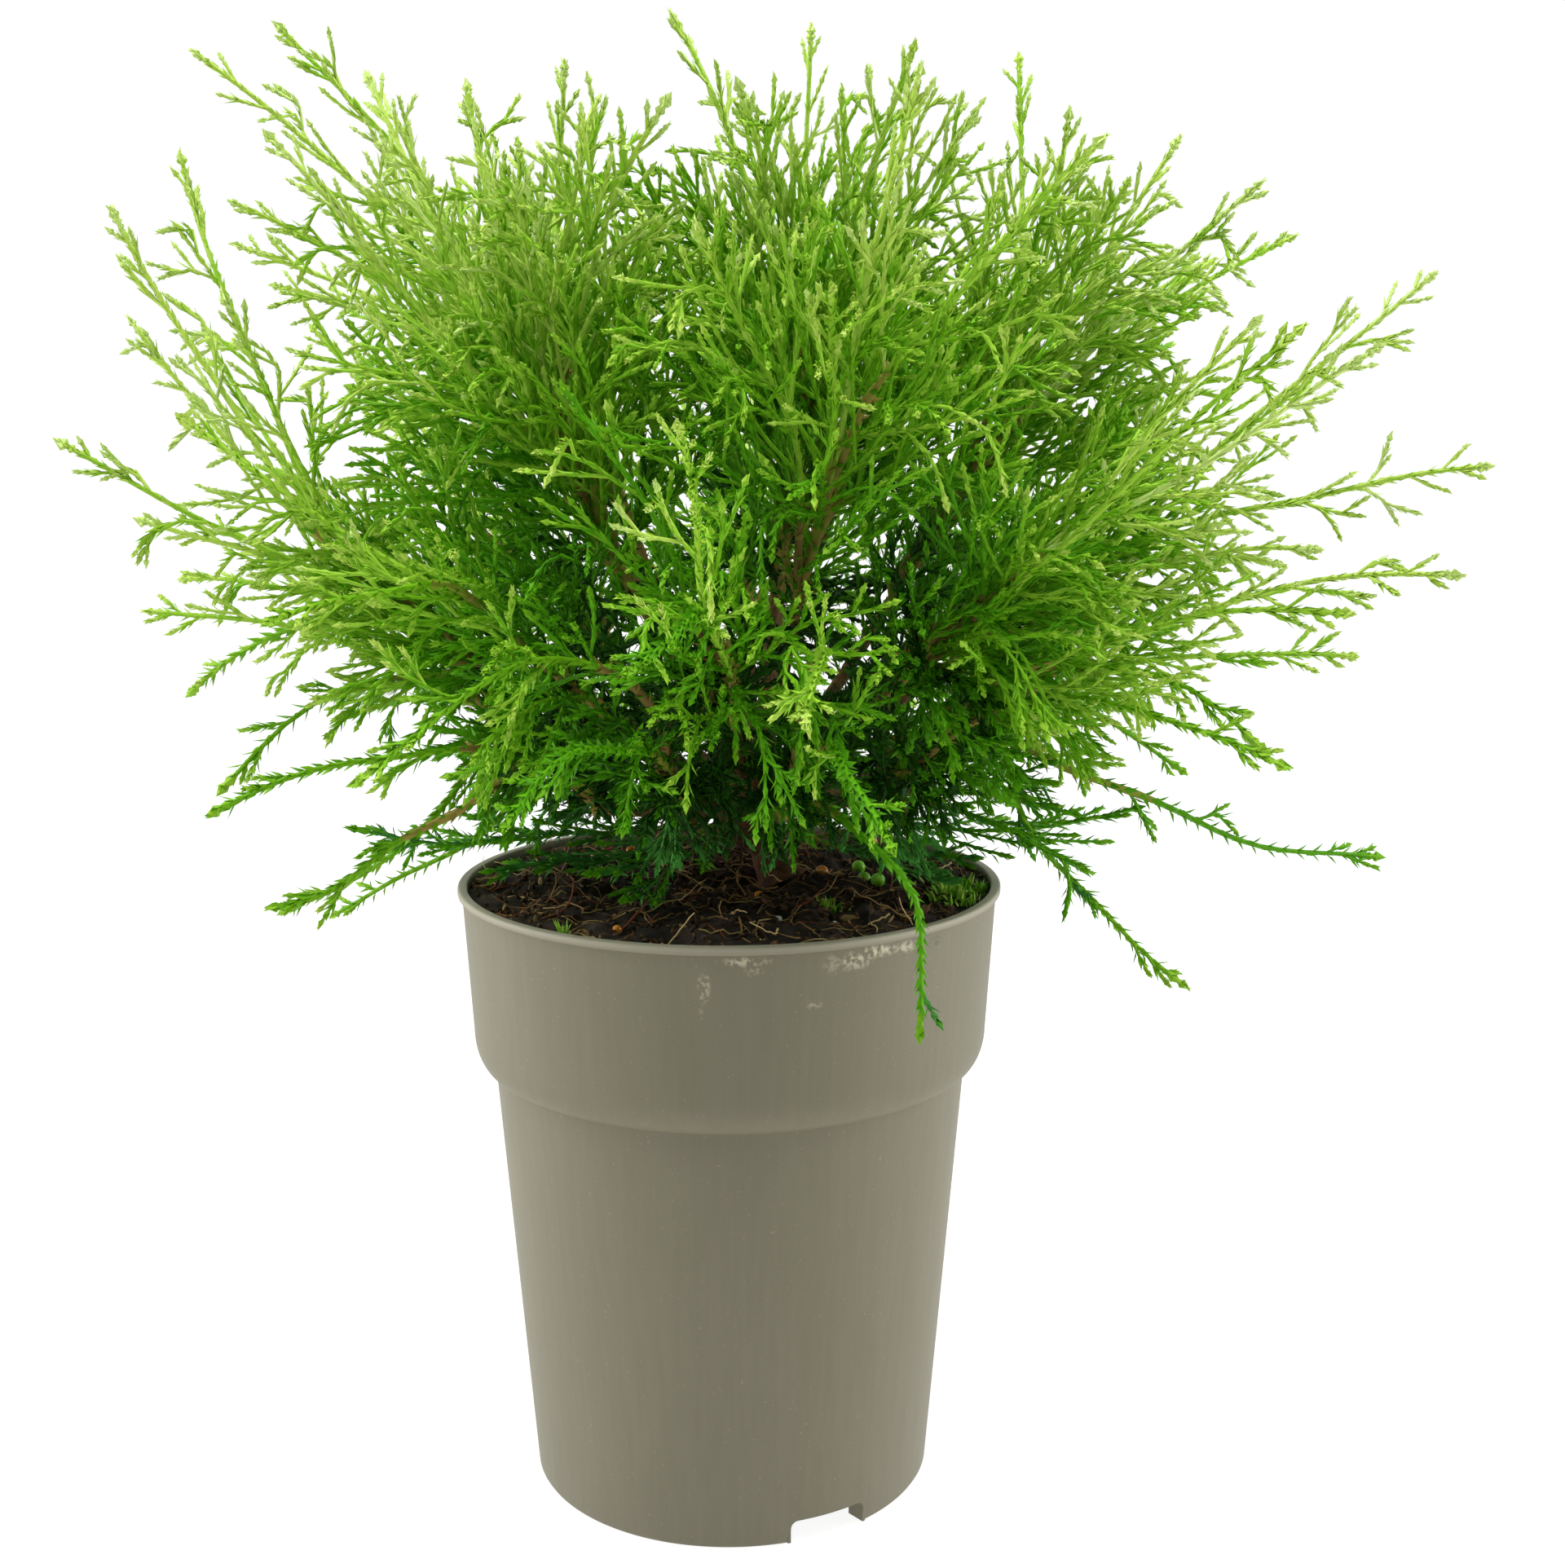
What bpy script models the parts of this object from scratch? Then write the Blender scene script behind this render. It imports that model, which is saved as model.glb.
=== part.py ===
"""A dwarf thread-leaved conifer in a round nursery pot, about 40 cm tall.

The pot stands on z = 0 with its axis along z. A short stem rises from the soil to a
knuckle, the boughs fan out from the knuckle in tiers, and each bough carries one mass
of foliage. A mass keeps to its own wedge of space, which holds the directions that lie
nearer to its own bough than to any other. Lengths are in metres, angles in degrees.
"""

import math
import random
from typing import NamedTuple

import bmesh
import bpy
import numpy as np
from mathutils import Matrix, Quaternion, Vector

MM = 0.001
UP = Vector((0, 0, 1))
GAP = 0.3 * MM
WELD = 0.01 * MM
SHARP_FROM = 40.0
SEED = 7

# Pot, from the rim down. Radii are to the outside of the wall.
POT_HEIGHT = 171.0 * MM
RIM_RADIUS = 75.0 * MM
BEAD_HEIGHT = 3.0 * MM
BEAD_EDGE = 0.8 * MM
COLLAR_TOP_RADIUS = 73.9 * MM
COLLAR_FOOT_RADIUS = 71.4 * MM
COLLAR_FOOT_Z = 130.3 * MM
BODY_TOP_RADIUS = 65.8 * MM
BODY_TOP_Z = 120.2 * MM
FOOT_RADIUS = 56.1 * MM
WALL = 1.5 * MM
FLOOR = 1.6 * MM
POT_STEPS = 36

# Underside of the pot: a flat disc and a foot ring at z = 0, with a drained channel between them.
DISC_RADIUS = 38.0 * MM
FOOT_RING_RADIUS = 53.0 * MM
CHANNEL_HEIGHT = 7.0 * MM
DRAIN_HOLES = 6
DRAIN_RADIUS = 4.5 * MM
NOTCH_ANGLES = (-61.0, 119.0)
NOTCH_WIDTH = 22.5 * MM
NOTCH_HEIGHT = 6.6 * MM
NOTCH_CORNER = 2.0 * MM

# Soil: a low mound, flat where the stem stands on it
SOIL_EDGE_Z = 168.8 * MM
SOIL_TOP_Z = 172.0 * MM
SOIL_FLAT_RADIUS = 24.0 * MM
SOIL_SHOULDER = 0.6

# Stem: leans from its foot to the knuckle that the boughs leave
STEM_FOOT = Vector((14.0, -3.0, 0.0)) * MM
FORK = Vector((6.0, 0.0, 190.0)) * MM
STEM_FLARE_RADIUS = 8.5 * MM
STEM_NECK_RADIUS = 5.2 * MM
STEM_SIDES = 12
KNUCKLE_RADIUS = 10.5 * MM

# Boughs: tiers of limbs, each given as name, rise above level, count and turn of the first one
TIERS = (("top", 87.0, 1, 0.0), ("high", 60.0, 5, 4.0), ("mid", 34.0, 8, 0.0), ("low", 8.0, 10, -4.0))
TIER_JITTER = 4.5
BOUGH_ROOT_RADIUS = 2.0 * MM
BOUGH_TIP_RADIUS = 1.5 * MM
BOUGH_SHARE = 0.29
BOUGH_BOW = 1.2 * MM
BOUGH_SIDES = 6

# Crown: how far the furthest shoots and the closed foliage reach from the fork, by rise
TIP_REACH = (
    (-20, 0.130), (8, 0.152), (20, 0.182), (30, 0.210), (45, 0.228), (60, 0.218), (75, 0.206), (90, 0.206),
)
LEAF_REACH = ((-20, 0.092), (0, 0.100), (18, 0.124), (28, 0.154), (45, 0.182), (60, 0.190), (90, 0.184))

# Leaders that stand out of the crown's front outline, given as (across, height) in mm of where
# the eye sees their tips on the plane y = 0. They lie up to the depth before or behind it.
EYE = Vector((14.7, -566.2, 304.3)) * MM
LEADER_DEPTH = 26.0 * MM
FRONT_LEADERS = (
    (-122, 163), (-139, 197), (-156, 245), (-176, 289), (-160, 348), (-136, 389), (-67, 380),
    (-13, 398), (48, 390), (117, 367), (185, 333), (202, 284), (178, 177), (126, 141),
)
HANGING_TIP = Vector((48.0, -80.0, 152.0)) * MM

# Shoots: three-sided spindles, thickest past their middle. Some have a needle standing out of them.
SHOOT_SIDES = 3
STEM_RADIUS = 1.3 * MM
STEM_SWELL = 1.25
STEM_STEPS = 5
LEADER_STEPS = 4
LEADER_FROM = 0.3
LEADER_BELLY_RADIUS = 2.8 * MM
HANDLE_SHARE = 0.4
SHOOT_ROOT_RADIUS = 0.8 * MM
SHOOT_BELLY_RADIUS = 3.5 * MM
SPRIG_BELLY_RADIUS = 2.8 * MM
SHOOT_BELLY = 0.6
STEM_BARE = 0.04
LEADER_BARE = 0.25
LAST_SHOOT = 0.9
SHOOT_LEAST = 16.0 * MM
SHOOT_MOST = 66.0 * MM
SHOOT_STEPS = 2
CUT_BACK = 0.88
STEM_SPACING = 10.0 * MM
LEADER_SPACING = 14.0 * MM
OUTER_SHOOT = 26.0 * MM
SPRIG_AT = 0.4
SPRIG_LENGTH = 0.55
SPRIG_FROM = 34.0 * MM
NEEDLE_AT = 0.55
NEEDLE_EVERY = 6
GOLDEN_TURN = 137.5
OWN_TIP_WITHIN = 17.0
BESIDE_LEAN = 11.0
LEAN_AT_ROOT = 54.0
LEAN_AT_TIP = 38.0
SHOOT_BEND = 22.0
SKYWARD = 0.35
NEEDLE_LENGTH = 12.0 * MM
NEEDLE_RADIUS = 1.5 * MM
NEEDLE_LEAN = 36.0
POT_CLEARANCE = 1.0 * MM

TAUPE = (0.205, 0.185, 0.135)
PEAT = (0.035, 0.022, 0.014)
BARK = (0.235, 0.120, 0.052)
TWIG_BARK = (0.330, 0.190, 0.070)
GREENS = ((0.060, 0.160, 0.012), (0.095, 0.230, 0.020), (0.130, 0.290, 0.030), (0.170, 0.350, 0.050))


class Shoot(NamedTuple):
    """One shoot: its centre line, and the radius at each of its points."""

    points: list
    radii: list


class Wedge(NamedTuple):
    """The space of one mass: its bough's direction, and the normals of the planes that bound it."""

    direction: Vector
    normals: list

    def holds(self, point, margin):
        """True where a ball of radius margin at the point is in the wedge and clear of the pot and soil."""
        out = point - FORK
        if min(out.dot(normal) for normal in self.normals) < margin + GAP / 2:
            return False
        if point.z - margin > POT_HEIGHT + POT_CLEARANCE:
            return True
        return math.hypot(point.x, point.y) - margin > RIM_RADIUS + POT_CLEARANCE


def clear_scene():
    """Remove everything that the file opened with."""
    for found in list(bpy.data.objects):
        bpy.data.objects.remove(found, do_unlink=True)


def new_collection(name):
    """Add a collection to the scene."""
    collection = bpy.data.collections.new(name)
    bpy.context.scene.collection.children.link(collection)
    return collection


def finish(name, colour, roughness):
    """A matte material of one colour."""
    material = bpy.data.materials.new(name)
    material.use_nodes = True
    shader = material.node_tree.nodes["Principled BSDF"]
    shader.inputs["Base Color"].default_value = (*colour, 1.0)
    shader.inputs["Roughness"].default_value = roughness
    material.diffuse_color = (*colour, 1.0)
    return material


def add_object(name, data, collection, material=None):
    """Put a mesh or curve in a collection as an object with its own material."""
    added = bpy.data.objects.new(name, data)
    collection.objects.link(added)
    if material:
        data.materials.append(material)
    return added


def turned(name, profile, collection, material):
    """A solid turned about z from (radius, height) points that end by running down its outer side."""
    line = bpy.data.meshes.new(f"{name}_profile")
    edges = [(i, i + 1) for i in range(len(profile) - 1)]
    line.from_pydata([(radius, 0.0, height) for radius, height in profile], edges, [])
    outline = add_object(f"{name}_profile", line, collection)
    screw = outline.modifiers.new("turn", "SCREW")
    screw.steps = screw.render_steps = POT_STEPS
    screw.use_merge_vertices = True
    screw.merge_threshold = WELD
    graph = bpy.context.evaluated_depsgraph_get()
    mesh = bpy.data.meshes.new_from_object(outline.evaluated_get(graph))
    bpy.data.objects.remove(outline)
    mesh.name = name
    smooth(mesh)
    return add_object(name, mesh, collection, material)


def smooth(mesh):
    """Shade a round piece smooth, apart from its edges."""
    mesh.shade_smooth()
    mesh.set_sharp_from_angle(angle=math.radians(SHARP_FROM))


def wall_line(inset, top, bottom, shoulder=(0, 90)):
    """Points down the pot's outer wall, moved inwards by inset, with the collar's foot rounded in turns."""
    drop = COLLAR_TOP_RADIUS - COLLAR_FOOT_RADIUS
    slope = drop / (POT_HEIGHT - COLLAR_FOOT_Z)
    points = [(COLLAR_FOOT_RADIUS + slope * (top - COLLAR_FOOT_Z), top)]
    for turn in shoulder:
        across = (COLLAR_FOOT_RADIUS - BODY_TOP_RADIUS) * math.cos(math.radians(turn))
        down = (COLLAR_FOOT_Z - BODY_TOP_Z) * math.sin(math.radians(turn))
        points.append((BODY_TOP_RADIUS + across, COLLAR_FOOT_Z - down))
    taper = (BODY_TOP_RADIUS - FOOT_RADIUS) / BODY_TOP_Z
    points.append((FOOT_RADIUS + taper * bottom, bottom))
    return [(radius - inset, height) for radius, height in points]


def build_pot(collection, cutters):
    """The pot: a tapered wall with a collar and a beaded rim, on a drained foot."""
    floor_top = CHANNEL_HEIGHT + FLOOR
    inside = wall_line(WALL, POT_HEIGHT - BEAD_EDGE, floor_top)
    outside = wall_line(0.0, POT_HEIGHT - BEAD_HEIGHT, 0.0, (0, 30, 60, 90))
    profile = [(0.0, FLOOR), (DISC_RADIUS - WALL, FLOOR), (DISC_RADIUS - WALL / 2, floor_top)]
    profile += inside[::-1]
    profile += [
        (COLLAR_TOP_RADIUS - WALL + BEAD_EDGE, POT_HEIGHT),
        (RIM_RADIUS - BEAD_EDGE, POT_HEIGHT),
        (RIM_RADIUS, POT_HEIGHT - BEAD_EDGE),
        (RIM_RADIUS, POT_HEIGHT - BEAD_HEIGHT + BEAD_EDGE),
    ]
    profile += outside
    profile += [
        (FOOT_RING_RADIUS, 0.0),
        (FOOT_RING_RADIUS - WALL / 2, CHANNEL_HEIGHT),
        (DISC_RADIUS + WALL / 2, CHANNEL_HEIGHT),
        (DISC_RADIUS, 0.0),
        (0.0, 0.0),
    ]
    pot = turned("pot", profile, collection, finish("moulded_plastic", TAUPE, 0.55))
    for index in range(DRAIN_HOLES):
        cut_drain_hole(index, cutters)
    for index, angle in enumerate(NOTCH_ANGLES):
        cut_foot_notch(index, angle, cutters)
    cut = pot.modifiers.new("drains_and_notches", "BOOLEAN")
    cut.operation = "DIFFERENCE"
    cut.operand_type = "COLLECTION"
    cut.collection = cutters


def add_cutter(name, shape, cutters):
    """Keep a bmesh as a hidden cutter."""
    mesh = bpy.data.meshes.new(name)
    shape.to_mesh(mesh)
    shape.free()
    cutter = add_object(name, mesh, cutters)
    cutter.hide_render = True
    cutter.display_type = "WIRE"


def cut_drain_hole(index, cutters):
    """A round hole through the roof of the channel."""
    middle = (DISC_RADIUS + FOOT_RING_RADIUS) / 2
    turn = Matrix.Rotation(math.radians((index + 0.5) * 360 / DRAIN_HOLES), 4, "Z")
    place = turn @ Matrix.Translation((middle, 0, CHANNEL_HEIGHT + FLOOR / 2))
    shape = bmesh.new()
    bmesh.ops.create_cone(
        shape, cap_ends=True, segments=10, radius1=DRAIN_RADIUS, radius2=DRAIN_RADIUS,
        depth=3 * FLOOR, matrix=place,
    )
    add_cutter(f"drain_{index}", shape, cutters)


def cut_foot_notch(index, angle, cutters):
    """A round-cornered notch through the foot ring."""
    depth = 4 * (FOOT_RADIUS - FOOT_RING_RADIUS)
    shape = bmesh.new()
    bmesh.ops.create_cube(shape, size=1.0)
    size = Vector((depth, NOTCH_WIDTH, 2 * NOTCH_HEIGHT))
    bmesh.ops.scale(shape, vec=size, verts=shape.verts)
    along = [edge for edge in shape.edges if abs(edge.verts[0].co.x - edge.verts[1].co.x) > depth / 2]
    bmesh.ops.bevel(shape, geom=along, offset=NOTCH_CORNER, segments=2, profile=0.5, affect="EDGES")
    place = Matrix.Rotation(math.radians(angle), 4, "Z") @ Matrix.Translation((FOOT_RADIUS, 0, 0))
    shape.transform(place)
    add_cutter(f"notch_{index}", shape, cutters)


def build_soil(collection):
    """The soil: it fills the pot, a gap clear of its wall and floor."""
    inset = WALL + GAP
    floor_top = CHANNEL_HEIGHT + FLOOR + GAP
    profile = [(0.0, SOIL_TOP_Z), (SOIL_FLAT_RADIUS, SOIL_TOP_Z)]
    wall = wall_line(inset, SOIL_EDGE_Z, floor_top)
    shoulder = SOIL_FLAT_RADIUS + SOIL_SHOULDER * (wall[0][0] - SOIL_FLAT_RADIUS)
    profile.append((shoulder, SOIL_TOP_Z - SOIL_SHOULDER**2 * (SOIL_TOP_Z - SOIL_EDGE_Z)))
    profile += wall
    profile += [
        (DISC_RADIUS - WALL / 2 - GAP, floor_top),
        (DISC_RADIUS - WALL - GAP, FLOOR + GAP),
        (0.0, FLOOR + GAP),
    ]
    turned("soil", profile, collection, finish("peat_compost", PEAT, 0.95))


def tube(name, points, radii, sides, collection, material=None):
    """A closed mesh tube of round or, with three sides, triangular section along a line of points."""
    curve = bpy.data.curves.new(name, "CURVE")
    curve.dimensions = "3D"
    curve.twist_mode = "MINIMUM"
    curve.use_fill_caps = True
    line = curve.splines.new("POLY")
    line.points.add(len(points) - 1)
    for control, point, radius in zip(line.points, points, radii):
        control.co = (*point, 1.0)
        control.radius = radius
    ring = section(sides, collection)
    curve.bevel_mode = "OBJECT"
    curve.bevel_object = ring
    path = add_object(name, curve, collection)
    graph = bpy.context.evaluated_depsgraph_get()
    mesh = bpy.data.meshes.new_from_object(path.evaluated_get(graph))
    bpy.data.objects.remove(path)
    bpy.data.objects.remove(ring)
    mesh.name = name
    weld(mesh)
    return add_object(name, mesh, collection, material)


def section(sides, collection):
    """A closed ring of unit radius for a tube's section."""
    curve = bpy.data.curves.new("section", "CURVE")
    ring = curve.splines.new("POLY")
    ring.points.add(sides - 1)
    for index, control in enumerate(ring.points):
        turn = 2 * math.pi * index / sides
        control.co = (math.cos(turn), math.sin(turn), 0.0, 1.0)
    ring.use_cyclic_u = True
    return add_object("section", curve, collection)


def weld(mesh):
    """Close the caps of a tube, and turn its faces outwards."""
    shape = bmesh.new()
    shape.from_mesh(mesh)
    bmesh.ops.remove_doubles(shape, verts=shape.verts, dist=WELD)
    bmesh.ops.recalc_face_normals(shape, faces=shape.faces)
    shape.to_mesh(mesh)
    shape.free()
    smooth(mesh)


def build_stem(collection):
    """The short stem: flared at the soil, drawn in at its neck and swollen where the boughs leave it."""
    ground = SOIL_TOP_Z + GAP
    rings = [
        (ground, STEM_FLARE_RADIUS),
        (ground + 0.1 * (FORK.z - ground), 0.8 * STEM_FLARE_RADIUS),
        (ground + 0.25 * (FORK.z - ground), STEM_NECK_RADIUS),
    ]
    for turn in (-45, -22, 0, 22, 45, 65, 84):
        height = FORK.z + KNUCKLE_RADIUS * math.sin(math.radians(turn))
        rings.append((height, KNUCKLE_RADIUS * math.cos(math.radians(turn))))
    points = []
    for height, _ in rings:
        lean = min(1.0, max(0.0, (height - rings[1][0]) / (FORK.z - rings[1][0])))
        place = STEM_FOOT.lerp(FORK, lean)
        points.append(Vector((place.x, place.y, height)))
    radii = [radius for _, radius in rings]
    tube("trunk", points, radii, STEM_SIDES, collection, finish("bark", BARK, 0.85))


def turned_to(direction, goal, angle):
    """A direction turned towards a goal by an angle, and not past it."""
    axis = direction.cross(goal)
    if axis.length < 0.001:
        return direction.copy()
    most = math.degrees(direction.angle(goal))
    return Quaternion(axis.normalized(), math.radians(min(angle, most))) @ direction


def direction_of(turn, rise):
    """The unit vector at a turn about z and a rise above level."""
    level = math.cos(math.radians(rise))
    return Vector((
        level * math.cos(math.radians(turn)),
        level * math.sin(math.radians(turn)),
        math.sin(math.radians(rise)),
    ))


def rise_of(direction):
    """How far a direction points above level."""
    return math.degrees(math.asin(max(-1.0, min(1.0, direction.normalized().z))))


def reach(table, direction):
    """A reach read between the entries of a table of (rise, reach)."""
    rises, values = zip(*table)
    return float(np.interp(rise_of(direction), rises, values))


def plan_wedges(dice):
    """The name and wedge of each bough, tier by tier."""
    names = []
    directions = []
    for tier, rise, count, first in TIERS:
        for index in range(count):
            turn = first + 360 * index / count + dice.uniform(-TIER_JITTER, TIER_JITTER)
            tilt = rise + dice.uniform(-TIER_JITTER, TIER_JITTER)
            names.append(f"{tier}_{index + 1:02d}")
            directions.append(direction_of(turn, min(tilt, 90.0)))
    wedges = []
    for own in directions:
        normals = [(own - other).normalized() for other in directions if other is not own]
        wedges.append(Wedge(own, normals))
    return list(zip(names, wedges))


def nearest_wedge(wedges, tip):
    """The index of the bough whose direction is nearest to that of a tip."""
    aim = (tip - FORK).normalized()
    return max(range(len(wedges)), key=lambda index: wedges[index][1].direction.dot(aim))


def share_leaders(wedges, dice):
    """The tips of the long leaders, shared out to the wedges that they lie in."""
    shared = {name: [] for name, _ in wedges}
    tips = [HANGING_TIP]
    for across, height in FRONT_LEADERS:
        seen = Vector((across, 0.0, height)) * MM
        tips.append(EYE.lerp(seen, 1 - dice.uniform(-LEADER_DEPTH, LEADER_DEPTH) / EYE.y))
    for tip in tips:
        name = wedges[nearest_wedge(wedges, tip)][0]
        shared[name].append(tip)
    return shared


def bough_end(wedge):
    """Where a bough stops and its foliage begins."""
    return FORK + wedge.direction * BOUGH_SHARE * reach(TIP_REACH, wedge.direction)


def build_bough(name, wedge, collection, material, dice):
    """One tapering limb, bowed a little, from just off the knuckle to its mass of foliage."""
    root = FORK + wedge.direction * (KNUCKLE_RADIUS + GAP)
    end = bough_end(wedge)
    bow = wedge.direction.orthogonal().normalized() * BOUGH_BOW * dice.uniform(0.3, 1.0)
    points = (root, root.lerp(end, 0.5) + bow, end)
    radii = (BOUGH_ROOT_RADIUS, (BOUGH_ROOT_RADIUS + BOUGH_TIP_RADIUS) / 2, BOUGH_TIP_RADIUS)
    tube(f"bough_{name}", points, radii, BOUGH_SIDES, collection, material)


def grow_towards(start, heading, tip, steps):
    """Points on an even curve that leaves start along heading and ends at tip."""
    handle = start + heading.normalized() * (tip - start).length * HANDLE_SHARE
    points = []
    for index in range(steps + 1):
        share = index / steps
        first = start.lerp(handle, share)
        points.append(first.lerp(handle.lerp(tip, share), share))
    return points


def grow_free(start, heading, length, bend, steps):
    """Points along a shoot that leaves start along heading and bends outwards and up as it goes."""
    points = [start.copy()]
    direction = heading.normalized()
    for _ in range(steps):
        goal = ((points[-1] - FORK).normalized() + SKYWARD * UP).normalized()
        direction = turned_to(direction, goal, bend / steps)
        points.append(points[-1] + direction * length / steps)
    return points


def spindle(points, root, belly):
    """A shoot with a slim root, a fuller belly and a point at its end."""
    last = len(points) - 1
    radii = []
    for index in range(last):
        share = index / last
        if share <= SHOOT_BELLY:
            radii.append(root + (belly - root) * share / SHOOT_BELLY)
        else:
            radii.append(belly * (1 - share) / (1 - SHOOT_BELLY))
    return Shoot(points, [*radii, 0.0])


def fits(wedge, shoot):
    """True where a shoot stays in its wedge along its whole length."""
    for index in range(len(shoot.points) - 1):
        for share in (0.0, 0.25, 0.5, 0.75, 1.0):
            point = shoot.points[index].lerp(shoot.points[index + 1], share)
            margin = max(shoot.radii[index], shoot.radii[index + 1])
            if not wedge.holds(point, margin):
                return False
    return True


def along(points, share):
    """The point and the direction at a share of a line's length."""
    place = share * (len(points) - 1)
    index = min(int(place), len(points) - 2)
    point = points[index].lerp(points[index + 1], place - index)
    return point, (points[index + 1] - points[index]).normalized()


def leaning_off(direction, lean, turn):
    """A direction that leans off another one by an angle, on a side given by a turn about it."""
    side = direction.orthogonal().normalized()
    side = Quaternion(direction, math.radians(turn)) @ side
    angle = math.radians(lean)
    return direction * math.cos(angle) + side * math.sin(angle)


def side_shoot(wedge, parent, share, turn, most, belly, dice):
    """A shoot off a parent, cut back until it stays in its wedge, or None where it can't."""
    start, heading = along(parent.points, share)
    lean = LEAN_AT_ROOT + (LEAN_AT_TIP - LEAN_AT_ROOT) * share
    aim = leaning_off(heading, lean, turn)
    bend = SHOOT_BEND * dice.uniform(0.5, 1.2)
    out = start - FORK
    room = reach(LEAF_REACH, out) * dice.uniform(0.94, 1.06) - out.length
    length = min(max(room * 1.1, OUTER_SHOOT), most) * dice.uniform(0.85, 1.0)
    while length > SHOOT_LEAST:
        points = grow_free(start, aim, length, bend, SHOOT_STEPS)
        shoot = spindle(points, SHOOT_ROOT_RADIUS, belly)
        if fits(wedge, shoot):
            return shoot
        length *= CUT_BACK
    return None


def plan_leaders(wedge, tips, dice):
    """The stem's tip and the tips of the leaders beside it."""
    ordered = sorted(tips, key=lambda tip: (tip - FORK).angle(wedge.direction))
    if ordered and math.degrees((ordered[0] - FORK).angle(wedge.direction)) < OWN_TIP_WITHIN:
        return ordered[0], ordered[1:]
    own = FORK + wedge.direction * reach(TIP_REACH, wedge.direction) * dice.uniform(0.95, 1.0)
    beside = leaning_off(wedge.direction, BESIDE_LEAN, dice.uniform(0, 360))
    extra = FORK + beside * reach(TIP_REACH, beside) * dice.uniform(0.92, 1.0)
    return own, [*ordered, extra]


def grow_mass(wedge, tips, dice):
    """Every shoot of one mass, the stem first."""
    start = bough_end(wedge) + wedge.direction * GAP
    tip, others = plan_leaders(wedge, tips, dice)
    points = grow_towards(start, wedge.direction, tip, STEM_STEPS)
    swollen = [STEM_SWELL * STEM_RADIUS] * (STEM_STEPS - 2)
    stem = Shoot(points, [STEM_RADIUS, *swollen, STEM_RADIUS, 0.0])
    shoots = [stem]
    root, heading = along(points, LEADER_FROM)
    for other in others:
        leader = spindle(grow_towards(root, heading, other, LEADER_STEPS), STEM_RADIUS, LEADER_BELLY_RADIUS)
        if fits(wedge, leader):
            shoots.append(leader)
    side = clothe(wedge, stem, STEM_BARE, STEM_SPACING, dice)
    for leader in shoots[1:]:
        side += clothe(wedge, leader, LEADER_BARE, LEADER_SPACING, dice)
    return shoots + side


def clothe(wedge, parent, bare, spacing, dice):
    """The side shoots along a stem or a leader past its bare root, with the sprigs that they carry."""
    grown = []
    whole = (parent.points[-1] - parent.points[0]).length
    count = round(whole * (LAST_SHOOT - bare) / spacing)
    turn = dice.uniform(0, 360)
    for index in range(count):
        share = bare + (LAST_SHOOT - bare) * index / count
        turn += GOLDEN_TURN
        shoot = side_shoot(wedge, parent, share, turn, SHOOT_MOST, SHOOT_BELLY_RADIUS, dice)
        if shoot:
            grown.append(shoot)
            grown += sprig(wedge, shoot, dice)
    return grown


def sprig(wedge, parent, dice):
    """The small shoot off a long enough side shoot, in a list, or an empty list."""
    whole = (parent.points[-1] - parent.points[0]).length
    if whole < SPRIG_FROM:
        return []
    most = SPRIG_LENGTH * whole
    shoot = side_shoot(wedge, parent, SPRIG_AT, dice.uniform(0, 360), most, SPRIG_BELLY_RADIUS, dice)
    return [shoot] if shoot else []


def needle(shape, shoot, share, turn, wedge):
    """A three-sided needle whose root is sunk in its shoot's core."""
    point, heading = along(shoot.points, share)
    aim = leaning_off(heading, NEEDLE_LEAN, turn)
    end = point + aim * NEEDLE_LENGTH
    if not (wedge.holds(end, 0.0) and wedge.holds(point, NEEDLE_RADIUS)):
        return
    turned_over = UP.rotation_difference(aim).to_matrix().to_4x4()
    place = Matrix.Translation(point + aim * NEEDLE_LENGTH / 2) @ turned_over
    bmesh.ops.create_cone(
        shape, cap_ends=True, segments=SHOOT_SIDES, radius1=NEEDLE_RADIUS, radius2=0.0,
        depth=NEEDLE_LENGTH, matrix=place,
    )
    bmesh.ops.remove_doubles(shape, verts=shape.verts, dist=WELD)


def needle_pieces(name, shoots, wedge, pieces, dice):
    """The needles of a mass, each as an object of its own."""
    for number, shoot in enumerate(shoots[1::NEEDLE_EVERY]):
        shape = bmesh.new()
        needle(shape, shoot, NEEDLE_AT, dice.uniform(0, 360), wedge)
        if shape.verts:
            mesh = bpy.data.meshes.new(f"{name}_needle_{number}")
            shape.to_mesh(mesh)
            add_object(mesh.name, mesh, pieces)
        shape.free()


def keep_largest_body(mesh):
    """Drop loose scraps, and the walls of any hollow that joining sealed."""
    shape = bmesh.new()
    shape.from_mesh(mesh)
    unseen = set(shape.verts)
    bodies = []
    while unseen:
        body = {unseen.pop()}
        fringe = set(body)
        while fringe:
            fringe = {edge.other_vert(vert) for vert in fringe for edge in vert.link_edges} - body
            body |= fringe
        unseen -= body
        bodies.append(body)
    bodies.sort(key=len)
    scraps = [vert for body in bodies[:-1] for vert in body]
    bmesh.ops.delete(shape, geom=scraps, context="VERTS")
    shape.to_mesh(mesh)
    shape.free()


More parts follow.
